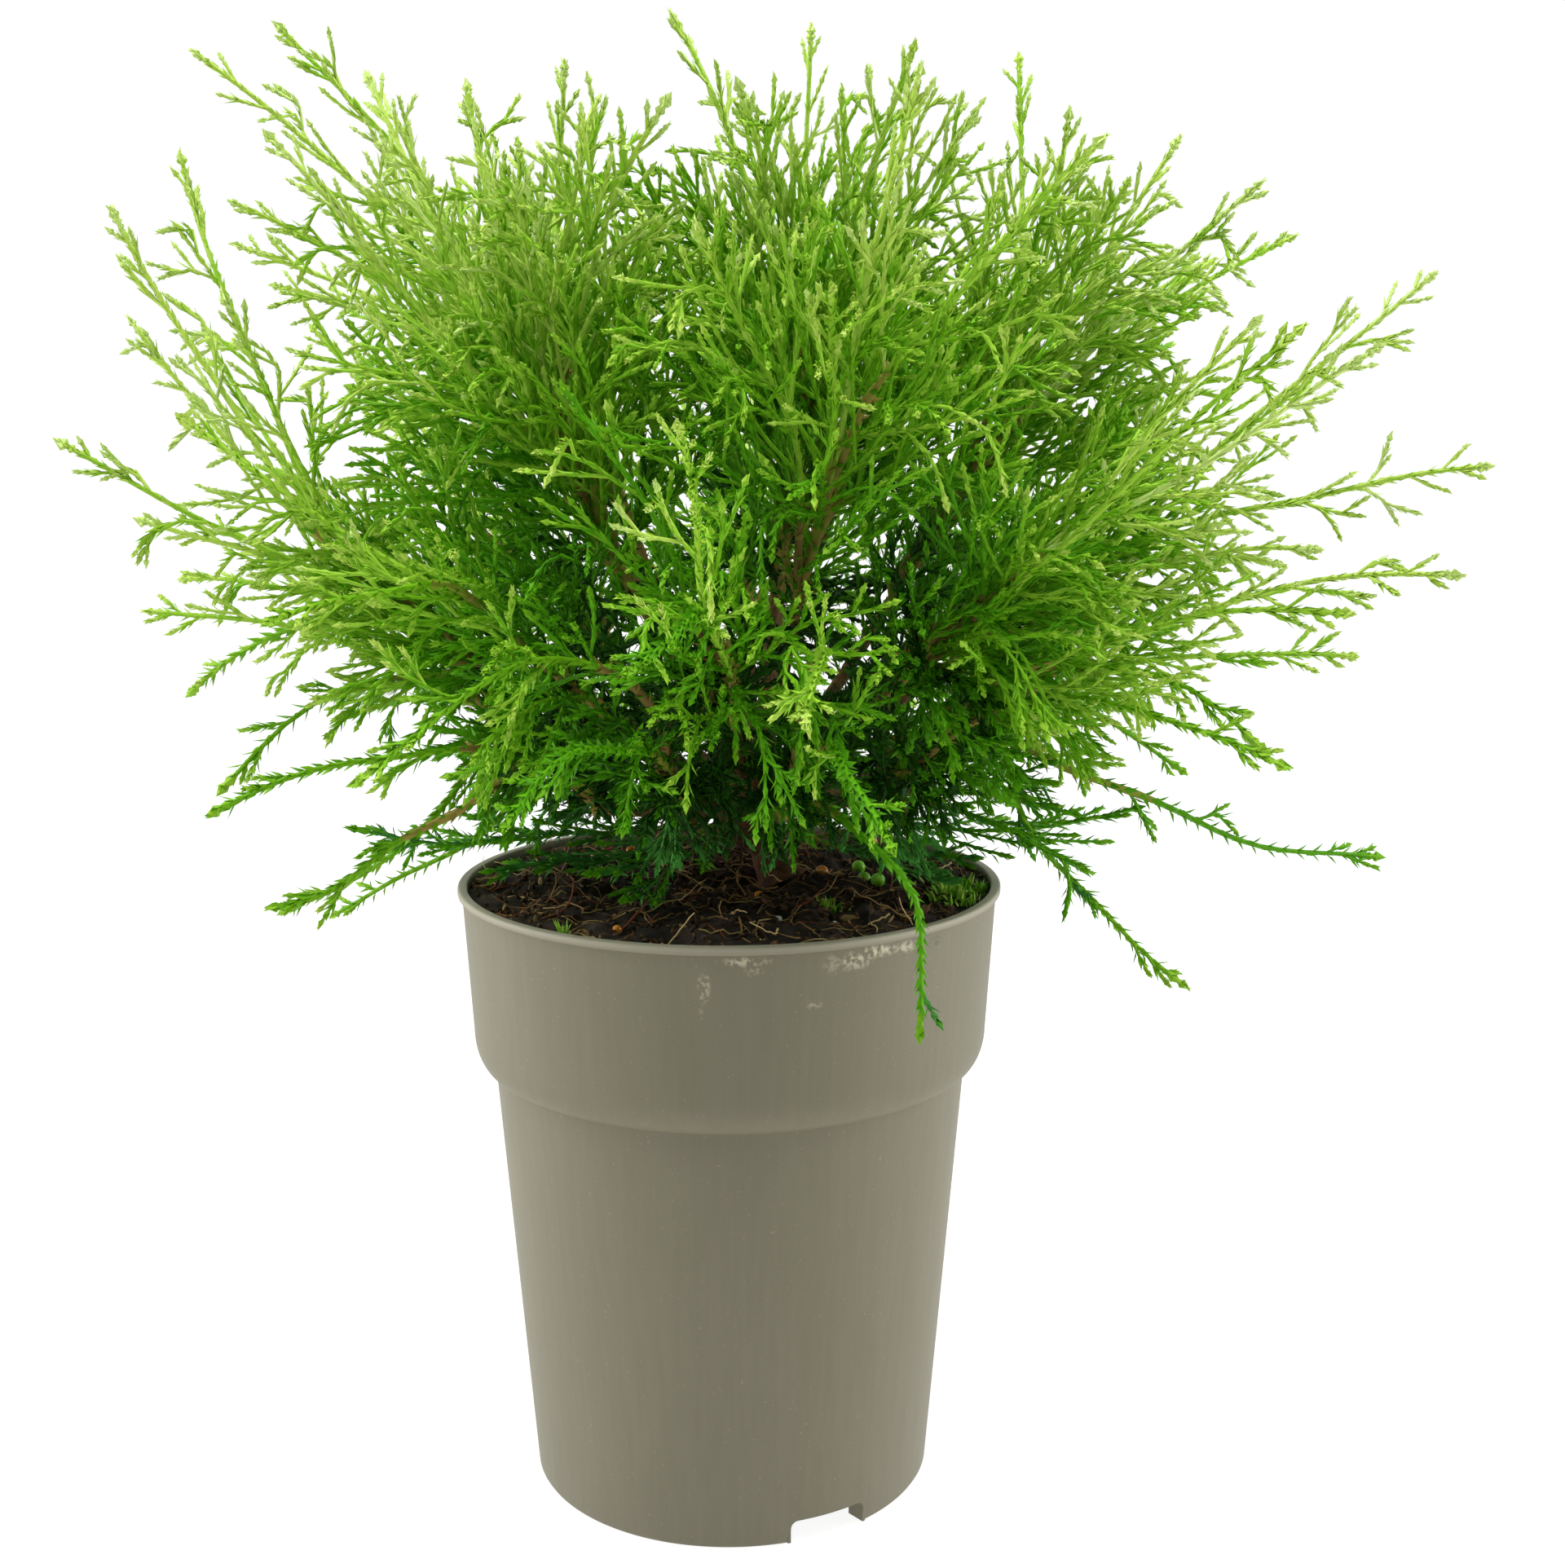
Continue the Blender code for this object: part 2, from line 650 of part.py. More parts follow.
def build_mass(name, wedge, tips, collection, material, dice):
    """One mass of foliage: its shoots and needles, joined into one solid."""
    pieces = new_collection(f"pieces_of_{name}")
    shoots = grow_mass(wedge, tips, dice)
    stem = tube(f"foliage_{name}", *shoots[0], SHOOT_SIDES, collection, material)
    for index, shoot in enumerate(shoots[1:]):
        tube(f"{name}_shoot_{index}", *shoot, SHOOT_SIDES, pieces)
    needle_pieces(name, shoots, wedge, pieces, dice)
    join = stem.modifiers.new("join", "BOOLEAN")
    join.operation = "UNION"
    join.operand_type = "COLLECTION"
    join.collection = pieces
    join.solver = "MANIFOLD"
    graph = bpy.context.evaluated_depsgraph_get()
    joined = bpy.data.meshes.new_from_object(stem.evaluated_get(graph))
    stem.modifiers.clear()
    stem.data = joined
    keep_largest_body(joined)
    for piece in list(pieces.objects):
        bpy.data.objects.remove(piece)
    bpy.data.collections.remove(pieces)


def main():
    """Build the pot, its soil, the stem, and every bough with its mass."""
    clear_scene()
    collection = new_collection("potted_conifer")
    build_soil(collection)
    build_stem(collection)
    dice = random.Random(SEED)
    wedges = plan_wedges(dice)
    leaders = share_leaders(wedges, dice)
    for index, (name, wedge) in enumerate(wedges):
        dice = random.Random(f"{SEED} {name}")
        limb = finish(f"limb_bark_{name}", TWIG_BARK, 0.8)
        build_bough(name, wedge, collection, limb, dice)
        green = finish(f"scale_leaves_{name}", GREENS[index % len(GREENS)], 0.6)
        build_mass(name, wedge, leaders[name], collection, green, dice)
    build_pot(collection, new_collection("cutters"))


main()
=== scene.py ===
"""Looks of a potted dwarf conifer with thread-like foliage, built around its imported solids.

The pot stands on z = 0 with its axis along z, and everything is in metres, in the frame of the
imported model. The crown grows by the rule that made its solids: boughs fan out from a knuckle on
a short stem, and each carries a mass of foliage: a stem, its leaders and their side shoots. Here
the rule goes on to sprigs and spurs, and every shoot is clothed in pairs of small leaves.
"""

from __future__ import annotations

import logging
from dataclasses import dataclass, field
from enum import IntEnum
from math import asin, ceil, cos, degrees, exp, hypot, pi, radians, sin, sqrt
from random import Random

import bmesh
import bpy
import numpy as np
from bpy.types import Material, Mesh, Node, NodeSocket, NodeTree, Object
from mathutils import Euler, Matrix, Quaternion, Vector, noise

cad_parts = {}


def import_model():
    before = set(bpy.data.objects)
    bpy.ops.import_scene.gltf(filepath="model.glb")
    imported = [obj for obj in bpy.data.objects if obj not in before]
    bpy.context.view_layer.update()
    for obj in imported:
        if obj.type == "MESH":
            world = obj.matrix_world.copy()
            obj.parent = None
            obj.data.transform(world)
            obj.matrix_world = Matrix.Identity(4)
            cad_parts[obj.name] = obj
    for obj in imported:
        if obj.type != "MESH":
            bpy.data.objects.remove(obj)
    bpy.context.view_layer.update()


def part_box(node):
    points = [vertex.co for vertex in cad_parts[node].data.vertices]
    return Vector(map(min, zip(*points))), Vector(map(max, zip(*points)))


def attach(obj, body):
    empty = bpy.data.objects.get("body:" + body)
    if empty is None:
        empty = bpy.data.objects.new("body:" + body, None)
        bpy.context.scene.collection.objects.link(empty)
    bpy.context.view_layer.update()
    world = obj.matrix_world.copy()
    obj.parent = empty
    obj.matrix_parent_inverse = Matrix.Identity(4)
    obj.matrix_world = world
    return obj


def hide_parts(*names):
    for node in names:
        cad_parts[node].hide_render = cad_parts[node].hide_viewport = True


LOG = logging.getLogger("potted_conifer")
MM = 0.001
UP = Vector((0.0, 0.0, 1.0))
BODY = "root"
SEED = 7
GOLDEN_TURN = 137.5
GROWTH_MARKS = ("girth", "tint", "aim", "face", "size")


def linear(code: str) -> tuple:
    """Turn an sRGB colour, such as "#rrggbb", to linear light with a full alpha.

    Args:
        code: The colour's code.

    Returns:
        Red, green, blue and alpha from 0 to 1.
    """
    parts = [int(code[start : start + 2], 16) / 255 for start in (1, 3, 5)]
    light = [part / 12.92 if part <= 0.04045 else ((part + 0.055) / 1.055) ** 2.4 for part in parts]
    return (*light, 1.0)


def per(size: float) -> float:
    """The scale of a pattern on Object coordinates whose marks are this many millimetres across."""
    return 1.0 / (size * MM)


def smooth_step(low: float, high: float, value: float) -> float:
    """Rise evenly from 0 at low to 1 at high, level at both ends."""
    share = min(1.0, max(0.0, (value - low) / (high - low)))
    return share * share * (3.0 - 2.0 * share)


def between(start: float, end: float, share: float) -> float:
    """What lies at a share of the way from one value to another."""
    return start + (end - start) * share


def part_of(left: float, rule: tuple) -> float:
    """A share of what is left, and some more, by a rule that holds the two."""
    share, more = rule
    return share * left + more


def add_node(tree: NodeTree, kind: str, feeds: dict | None = None, **settings: object) -> Node:
    """Add a node with its settings and its links.

    Args:
        tree: The tree that takes the node.
        kind: The node's type.
        feeds: What goes into its inputs, by name or number: another node's output or a plain value.
        settings: Values of the node's own properties.

    Returns:
        The new node.
    """
    node = tree.nodes.new(kind)
    for name, value in settings.items():
        setattr(node, name, value)
    for where, value in (feeds or {}).items():
        if isinstance(value, NodeSocket):
            tree.links.new(value, node.inputs[where])
        else:
            node.inputs[where].default_value = value
    return node


def noisy(tree: NodeTree, place: NodeSocket, size: float, detail: float) -> NodeSocket:
    """A soft noise from 0 to 1 whose marks are this many millimetres across."""
    feeds = {"Vector": place, "Scale": per(size), "Detail": detail}
    return add_node(tree, "ShaderNodeTexNoise", feeds).outputs["Fac"]


def ranged(tree: NodeTree, value: NodeSocket, low: float, high: float, **settings: object) -> NodeSocket:
    """How far a value has come from low to high, from 0 to 1."""
    feeds = {"Value": value, "From Min": low, "From Max": high}
    return add_node(tree, "ShaderNodeMapRange", feeds, **settings).outputs["Result"]


def times(tree: NodeTree, value: NodeSocket, other: NodeSocket | float) -> NodeSocket:
    """The product of two values."""
    return add_node(tree, "ShaderNodeMath", {0: value, 1: other}, operation="MULTIPLY").outputs[0]


def blended(tree: NodeTree, share: NodeSocket, under: NodeSocket | tuple, over: tuple) -> NodeSocket:
    """One colour laid over another by a share from 0 to 1."""
    return add_node(tree, "ShaderNodeMix", {"Factor": share, 6: under, 7: over}, data_type="RGBA").outputs[2]


def new_object(name: str, mesh: Mesh, *materials: Material) -> Object:
    """Put a mesh in the scene as an object with these materials.

    Args:
        name: The object's name.
        mesh: Its mesh.
        materials: What its slots hold, in order.

    Returns:
        The object.
    """
    for material in materials:
        mesh.materials.append(material)
    made = bpy.data.objects.new(name, mesh)
    bpy.context.scene.collection.objects.link(made)
    return made


def mesh_of(name: str, shape: bmesh.types.BMesh) -> Mesh:
    """Turn a bmesh to a mesh, and free it.

    Args:
        name: The mesh's name.
        shape: What it is made from.

    Returns:
        The mesh.
    """
    mesh = bpy.data.meshes.new(name)
    shape.to_mesh(mesh)
    shape.free()
    return mesh


def solid(name: str, points: list, faces: list[tuple], material: Material, smooth: bool = True) -> Object:
    """Make an object from points and faces, with its faces pointing outwards.

    Args:
        name: The object's name.
        points: Its corners.
        faces: The corners of each face.
        material: What it is made of.
        smooth: Whether it is shaded smooth.

    Returns:
        The object.
    """
    mesh = bpy.data.meshes.new(name)
    mesh.from_pydata([tuple(point) for point in points], [], faces)
    shape = bmesh.new()
    shape.from_mesh(mesh)
    bmesh.ops.recalc_face_normals(shape, faces=shape.faces)
    shape.to_mesh(mesh)
    shape.free()
    made = new_object(name, mesh, material)
    if smooth:
        mesh.shade_smooth()
    return made


def settled(made: Object) -> Object:
    """Turn what an object's modifiers show into its plain mesh, and take the modifiers off.

    Args:
        made: The object with its modifiers.

    Returns:
        The same object, with the new mesh.
    """
    graph = bpy.context.evaluated_depsgraph_get()
    mesh = bpy.data.meshes.new_from_object(made.evaluated_get(graph))
    made.modifiers.clear()
    made.data = mesh
    mesh.name = made.name
    for attribute in list(mesh.attributes):
        if attribute.name in GROWTH_MARKS:
            mesh.attributes.remove(attribute)
    return made


def hand_in(made: Object, slot: str, *nodes: str) -> None:
    """Report a finished piece: it rides on the one body and may stand for nodes of the frame.

    Args:
        made: The piece.
        slot: Not used.
        nodes: The nodes that it replaces.
    """
    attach(made, BODY)
    if nodes:
        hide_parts(*nodes)
    made.data.calc_loop_triangles()
    LOG.info("%s: %d triangles", made.name, len(made.data.loop_triangles))


@dataclass(frozen=True)
class Finish:
    """What every finish has: a plain colour, a roughness and the strength of its gloss."""

    name: str
    colour: str
    roughness: float
    specular: float = field(default=0.5, kw_only=True)

    def begin(self) -> tuple[Material, NodeTree, Node]:
        """Start the material.

        Returns:
            The material, its tree and its shader.
        """
        material = bpy.data.materials.new(self.name)
        material.use_nodes = True
        shader = material.node_tree.nodes["Principled BSDF"]
        shader.inputs["Base Color"].default_value = linear(self.colour)
        shader.inputs["Roughness"].default_value = self.roughness
        shader.inputs["Specular IOR Level"].default_value = self.specular
        material.diffuse_color = linear(self.colour)
        return material, material.node_tree, shader

    def coat(
        self, shader: Node, colour: NodeSocket, grain: NodeSocket, strength: float, depth: float
    ) -> None:
        """Give a shader its colour, and a relief of this depth in millimetres.

        Args:
            shader: The Principled node.
            colour: What it takes as base colour.
            grain: The heights of the relief, from 0 to 1.
            strength: How strong the relief is.
            depth: How deep it is, in millimetres.
        """
        tree = shader.id_data
        feeds = {"Height": grain, "Strength": strength, "Distance": depth * MM}
        tree.links.new(add_node(tree, "ShaderNodeBump", feeds).outputs[0], shader.inputs["Normal"])
        tree.links.new(colour, shader.inputs["Base Color"])

    def make(self) -> Material:
        """The finished material."""
        return self.begin()[0]


@dataclass(frozen=True)
class Mottled(Finish):
    """A dull natural surface whose colour wanders between two tones, with a fine relief."""

    second: str = "#000000"
    patch: float = 3.0
    grain: float = 0.6
    stretch: float = 1.0
    depth: float = 0.25
    patch_edges: tuple = (0.35, 0.65)
    relief: float = 0.6

    def make(self) -> Material:
        """Mix the two tones in soft patches, and raise a grain of a few tenths of a millimetre.

        Returns:
            The material.
        """
        material, tree, shader = self.begin()
        place = add_node(tree, "ShaderNodeTexCoord").outputs["Object"]
        if self.stretch != 1.0:
            sizes = (1.0, 1.0, 1.0 / self.stretch)
            place = add_node(tree, "ShaderNodeMapping", {"Vector": place, "Scale": sizes}).outputs[0]
        share = ranged(tree, noisy(tree, place, self.patch, 4.0), *self.patch_edges)
        colour = blended(tree, share, linear(self.colour), linear(self.second))
        self.coat(shader, colour, noisy(tree, place, self.grain, 3.0), self.relief, self.depth)
        return material


@dataclass(frozen=True)
class MouldedPolypropylene(Finish):
    """Injection-moulded nursery plastic: matt, faintly clouded, with lime where water has dried.

    Sizes are in millimetres: each noise's marks, the pale band below the rim, the relief's depth.
    """

    cloud: str = "#79735e"
    lime: str = "#c9c2a4"
    pale_tone: str = "#b9b3a0"
    grime: str = "#3b352b"
    wall_radius: float = 73.7
    rim_height: float = 171.0
    lime_marks: tuple = ()
    grime_marks: tuple = ()
    cloud_size: float = 38.0
    streak_size: float = 2.2
    streak_draw: float = 0.05
    dust_size: float = 0.9
    dust_edges: tuple = (0.70, 0.78)
    pale_rim_band: tuple = (2.6, 0.4)
    lime_fleck: float = 1.3
    grime_fleck: float = 0.7
    mark_edges: tuple = (1.0, 0.3)
    fleck_edges: tuple = (0.46, 0.60)
    strengths: tuple = (0.55, 0.10, 0.22, 0.55)
    grain: float = 0.7
    relief: tuple = (0.25, 0.06)

    def make(self) -> Material:
        """Cloud the wall, lighten its rim, and lay on the lime and the specks of grime.

        Returns:
            The material.
        """
        material, tree, shader = self.begin()
        place = add_node(tree, "ShaderNodeTexCoord").outputs["Object"]
        drawn = add_node(tree, "ShaderNodeMapping", {"Vector": place, "Scale": (1.0, 1.0, self.streak_draw)})
        dust = ranged(tree, noisy(tree, place, self.dust_size, 1.0), *self.dust_edges)
        height = add_node(tree, "ShaderNodeSeparateXYZ", {0: place}).outputs["Z"]
        # The top band of the wall, over the bead below the rim, is made paler.
        low, high = ((self.rim_height - below) * MM for below in self.pale_rim_band)
        edge = ranged(tree, height, low, high, interpolation_type="SMOOTHSTEP")
        streaks = noisy(tree, drawn.outputs[0], self.streak_size, 2.0)
        clouds = noisy(tree, place, self.cloud_size, 3.0)
        tones = (self.cloud, self.pale_tone, self.pale_tone, self.pale_tone)
        layers = list(zip(tones, (clouds, streaks, dust, edge), self.strengths))
        for marks, tone, fleck in (
            (self.lime_marks, self.lime, self.lime_fleck), (self.grime_marks, self.grime, self.grime_fleck),
        ):
            flecks = noisy(tree, place, fleck, 5.0)
            layers += [(tone, self.mask_of(tree, place, flecks, *mark), most) for *mark, most in marks]
        colour = linear(self.colour)
        for tone, share, most in layers:
            colour = blended(tree, times(tree, share, most), colour, linear(tone))
        self.coat(shader, colour, noisy(tree, place, self.grain, 2.0), *self.relief)
        return material

    def mask_of(
        self, tree: NodeTree, place: NodeSocket, flecks: NodeSocket,
        turn: float, height: float, wide: float, tall: float,
    ) -> NodeSocket:
        """Where a stain lies, from 0 to 1: an oval on the wall, broken up by a fine noise.

        Args:
            tree: The material's tree.
            place: Object coordinates.
            flecks: The noise.
            turn: Its turn about the pot, in degrees.
            height: How high it is.
            wide: How far it spreads sideways.
            tall: How far it spreads up and down.

        Returns:
            The mask.
        """
        middle = direction_of(turn, 0.0) * self.wall_radius * MM
        middle.z = height * MM
        sizes = Vector((wide, wide, tall)) * MM
        for operation, other in (("SUBTRACT", middle), ("DIVIDE", sizes)):
            feeds = {0: place, 1: tuple(other)}
            place = add_node(tree, "ShaderNodeVectorMath", feeds, operation=operation).outputs[0]
        far = add_node(tree, "ShaderNodeVectorMath", {0: place}, operation="LENGTH").outputs["Value"]
        return times(tree, ranged(tree, far, *self.mark_edges), ranged(tree, flecks, *self.fleck_edges))


class Tint(IntEnum):
    """Leaf and thread colours: painted shade up to painted light and new growth, then bark and a cold
    painted shade.
    """

    SHADE = 0
    DEEP = 1
    LEAF = 2
    FRESH = 3
    BRIGHT = 4
    LIME = 5
    PALE = 6
    OLIVE = 7
    TAN = 8
    OCHRE = 9
    # A colder green of painted shade for the darkest leaves near the soil.
    COLD = 10


# Living scale leaves are satin: a thin wax, so a broad soft gloss. The greens are painted light and
# shade: they run from painted shade in the crown's inside and low front to painted light on its top
# and outside, where the tips of this year's growth are also truly yellow-green, and the lowest
# shaded sprays get a colder painted shade. Dead leaves and young bark are dull, from straw to russet.
TINT_COLOURS = (
    "#214e0a", "#488909", "#5da40d", "#73ae18", "#94c234", "#b0ce56", "#c0d87a",
    "#7f8a2c", "#9c8c45", "#84703a", "#488b36",
)
GREENS = 7
LEAF_ROUGHNESS = 0.55
LEAF_SPECULAR = 0.14
BARK_ROUGHNESS = 0.75


def tint_materials() -> list[Material]:
    """One plain material for each tint, in the order of their numbers.

    Returns:
        The materials.
    """
    made = []
    for tint, colour in zip(Tint, TINT_COLOURS):
        rough = LEAF_ROUGHNESS if tint < GREENS else BARK_ROUGHNESS
        made.append(Finish(f"scale_leaf_{tint.name.lower()}", colour, rough, specular=LEAF_SPECULAR).make())
    return made


def direction_of(turn: float, rise: float) -> Vector:
    """The unit vector at a turn about z and a rise above level, in degrees."""
    turn, rise = radians(turn), radians(rise)
    return Vector((cos(rise) * cos(turn), cos(rise) * sin(turn), sin(rise)))


def rise_of(direction: Vector) -> float:
    """How far a direction points above level, in degrees."""
    return degrees(asin(max(-1.0, min(1.0, direction.normalized().z))))


def leaning_off(direction: Vector, lean: float, turn: float) -> Vector:
    """Lean a unit vector off itself by some degrees, on the side at a turn about it."""
    side = Quaternion(direction, radians(turn)) @ direction.orthogonal().normalized()
    return direction * cos(radians(lean)) + side * sin(radians(lean))


def turned_to(direction: Vector, goal: Vector, angle: float) -> Vector:
    """Turn a direction towards a goal by some degrees, and not past it.

    Args:
        direction: What is turned.
        goal: Where it turns to.
        angle: How far, in degrees.

    Returns:
        The new direction, of unit length.
    """
    axis = direction.cross(goal)
    if axis.length < 0.001:
        return direction.copy()
    most = degrees(direction.angle(goal))
    return Quaternion(axis.normalized(), radians(min(angle, most))) @ direction


def along(points: list[Vector], share: float) -> tuple[Vector, Vector]:
    """The point and the direction at a share of a line's length.

    Args:
        points: The line, in even steps.
        share: How far along it, from 0 to 1.

    Returns:
        The point there, and the unit direction of the line.
    """
    place = share * (len(points) - 1)
    index = min(int(place), len(points) - 2)
    point = points[index].lerp(points[index + 1], place - index)
    return point, (points[index + 1] - points[index]).normalized()


@dataclass
class Shoot:
    """One shoot: its line, its girth along it, and what decides its leaves and colours."""

    points: list[Vector]
    girths: list[float]
    # The painted light that deals out its green tints, from 0 in painted shade to 1.
    light: float
    woody: float = 0.0
    leading: bool = False

    def length(self) -> float:
        """The length from root to tip along the line."""
        return sum((b - a).length for a, b in zip(self.points, self.points[1:]))


@dataclass
class Wedge:
    """The space of one mass: the directions nearer to its own bough than to any other."""

    name: str
    direction: Vector
    normals: np.ndarray

    def room(self, out: Vector) -> float:
        """How far a place, given from the fork, is inside the wedge, or outside if below 0."""
        return float((self.normals @ np.array(out)).min())


@dataclass
class GrowthRule:
    """How the crown grows: the sizes that its solids have, and those of the finer shoots.

    Reaches are tables of (rise in degrees, metres from the fork). Leaders are placed as (x, z) in
    millimetres where the photograph's camera sees their tips, and dips in the outline likewise.
    """

    fork: Vector = field(default_factory=lambda: Vector((6.0, 0.0, 190.0)) * MM)
    knuckle_radius: float = 10.5 * MM
    # Name, rise, how many boughs and the turn of the first.
    tiers: tuple = (
        ("top", 87.0, 1, 0.0), ("high", 60.0, 5, 4.0), ("mid", 34.0, 8, 0.0), ("low", 8.0, 10, -4.0),
    )
    tier_jitter: float = 4.5
    tip_reach: tuple = (
        (-20, 0.130), (8, 0.152), (20, 0.182), (30, 0.210), (45, 0.228), (60, 0.218), (75, 0.206),
        (90, 0.206),
    )
    leaf_reach: tuple = (
        (-20, 0.092), (0, 0.100), (18, 0.124), (28, 0.154), (45, 0.182), (60, 0.190), (90, 0.184),
    )
    spread: tuple = (
        (-20, 0.056), (0, 0.068), (10, 0.074), (18, 0.082), (28, 0.118), (45, 0.166), (60, 0.181),
        (90, 0.178),
    )
    eye: Vector = field(default_factory=lambda: Vector((14.7, -566.2, 304.3)) * MM)
    front_leaders: tuple = (
        (-122, 163), (-139, 197), (-156, 245), (-176, 289), (-160, 348), (-136, 389), (-67, 380),
        (-13, 398), (48, 390), (117, 367), (185, 333), (202, 284), (178, 177), (126, 141),
    )
    more_leaders: tuple = (
        (-114, 395), (-142, 362), (-157, 321), (-156, 269), (-146, 224), (-109, 161), (-92, 382),
        (-128, 352), (-118, 368), (-138, 318), (-42, 385), (22, 394), (76, 387), (89, 373), (138, 356),
        (147, 343), (195, 255), (168, 233), (145, 209), (-35, 373), (-17, 376), (-54, 366), (4, 380),
        (64, 374), (104, 356), (127, 337), (139, 321), (157, 262), (148, 258), (-118, 331), (-146, 254),
        (-127, 341), (-132, 326), (-58, 352), (-26, 358), (-106, 216),
    )
    leader_depth: float = 26.0 * MM
    more_depth: float = 70.0 * MM
    hanging_tip: Vector = field(default_factory=lambda: Vector((48.0, -80.0, 152.0)) * MM)
    bough_share: float = 0.29
    leader_from: float = 0.3
    handle_share: float = 0.4
    own_tip_within: float = 17.0
    beside_lean: float = 11.0
    own_reach: tuple = (0.95, 1.0)
    beside_reach: tuple = (0.92, 1.0)
    # How many, from what rise to what rise, and from what share to what share of the spread.
    fills: tuple = ((88, 4.0, 90.0, 0.80, 1.03), (62, 0.0, 38.0, 0.62, 0.96), (80, 4.0, 90.0, 0.32, 0.70))
    fill_jitter: float = 4.0
    dips: tuple = ((99, 352), (-84, 358), (4, 380))
    dip_radius: float = 25.0 * MM
    rim_radius: float = 75.0 * MM
    pot_height: float = 171.0 * MM
    rim_clear: float = 4.0 * MM
    soil_clear: float = 2.5 * MM
    wall_clear: float = 7.0 * MM
    skyward: float = 0.35
    open_front: tuple = (-72.0 * MM, 70.0 * MM)
    seen_soil: float = 8.0 * MM
    sight_slope: float = 0.2355

    def reach(self, table: tuple, direction: Vector) -> float:
        """A reach read between the entries of a table."""
        rises, values = zip(*table)
        return float(np.interp(rise_of(direction), rises, values))

    def plan_wedges(self, dice: Random) -> list[Wedge]:
        """The wedge of each bough, tier by tier, with the tiers' jitter from the dice.

        Args:
            dice: Where its chances come from.

        Returns:
            The wedges.
        """
        planned = {}
        for tier, rise, count, first in self.tiers:
            for index in range(count):
                turn = first + 360 * index / count + dice.uniform(-self.tier_jitter, self.tier_jitter)
                tilt = rise + dice.uniform(-self.tier_jitter, self.tier_jitter)
                planned[f"{tier}_{index + 1:02d}"] = direction_of(turn, min(tilt, 90.0))
        wedges = []
        for name, own in planned.items():
            normals = [(own - other).normalized() for other in planned.values() if other is not own]
            wedges.append(Wedge(name, own, np.array(normals)))
        return wedges

    def leader_tips(self, dice: Random) -> list[Vector]:
        """The tips of the long leaders, somewhere behind or before where the camera sees them.

        Args:
            dice: Where its chances come from.

        Returns:
            The tips, in metres.
        """
        tips = [self.hanging_tip]
        for group, depth in ((self.front_leaders, self.leader_depth), (self.more_leaders, self.more_depth)):
            for across, height in group:
                seen = Vector((across, 0.0, height)) * MM
                tips.append(self.eye.lerp(seen, 1 - dice.uniform(-depth, depth) / self.eye.y))
        return tips

    def fill_tips(self, dice: Random) -> list[Vector]:
        """The tips of the leaders that fill the crown evenly, but for the dips in its outline.

        Args:
            dice: Where its chances come from.

        Returns:
            The tips, in metres.
        """
        tips = []
        for count, lowest, highest, least, most in self.fills:
            bottom, top = sin(radians(lowest)), sin(radians(highest))
            aims = []
            for index in range(count):
                rise = degrees(asin(top - (top - bottom) * (index + 0.5) / count))
                even = direction_of(index * GOLDEN_TURN, rise)
                aims.append(leaning_off(even, dice.uniform(0.0, self.fill_jitter), dice.uniform(0, 360)))
            for aim in aims:
                far = self.reach(self.spread, aim) * dice.uniform(least, most)
                tips.append(self.fork + aim * far)
        return [
            tip for tip in tips
            if all(hypot(tip.x - x * MM, tip.z - z * MM) > self.dip_radius for x, z in self.dips)
        ]

    def share_out(self, wedges: list[Wedge], tips: list[Vector]) -> dict[str, list[Vector]]:
        """Tips by the name of the wedge that each lies in.

        Args:
            wedges: The wedges.
            tips: The tips.

        Returns:
            The tips of each wedge.
        """
        shared: dict[str, list[Vector]] = {wedge.name: [] for wedge in wedges}
        for tip in tips:
            aim = (tip - self.fork).normalized()
            shared[max(wedges, key=lambda wedge: wedge.direction.dot(aim)).name].append(tip)
        return shared

    def bough_end(self, wedge: Wedge) -> Vector:
        """Where a bough stops and its foliage begins."""
        return self.fork + wedge.direction * self.bough_share * self.reach(self.tip_reach, wedge.direction)

    def plan_leaders(self, wedge: Wedge, tips: list[Vector], dice: Random) -> list[Vector]:
        """Choose where a mass's stem and its leaders end.

        Args:
            wedge: The mass's wedge.
            tips: The tips that were shared out to it.
            dice: Where the tips that it adds come from.

        Returns:
            The stem's tip, then those of the leaders beside it.
        """
        ordered = sorted(tips, key=lambda tip: (tip - self.fork).angle(wedge.direction))
        if ordered and degrees((ordered[0] - self.fork).angle(wedge.direction)) < self.own_tip_within:
            return ordered
        far = self.reach(self.tip_reach, wedge.direction)
        own = self.fork + wedge.direction * far * dice.uniform(*self.own_reach)
        beside = leaning_off(wedge.direction, self.beside_lean, dice.uniform(0, 360))
        extra = self.fork + beside * self.reach(self.tip_reach, beside) * dice.uniform(*self.beside_reach)
        return [own, *ordered, extra]

    def clear_of_pot(self, point: Vector) -> bool:
        """True where a place is above the soil or outside the pot, and leaves the soil seen in front.

        Args:
            point: The place.

        Returns:
            Whether a shoot may pass there.
        """
        level = hypot(point.x, point.y)
        if self.open_front[0] < point.x < self.open_front[1] and point.y < 0.0:
            return point.z > self.pot_height + self.sight_slope * (self.seen_soil - point.y)
        if point.z > self.pot_height + self.rim_clear or level > self.rim_radius + self.soil_clear:
            return True
        return level < self.rim_radius - self.wall_clear and point.z > self.pot_height + self.soil_clear


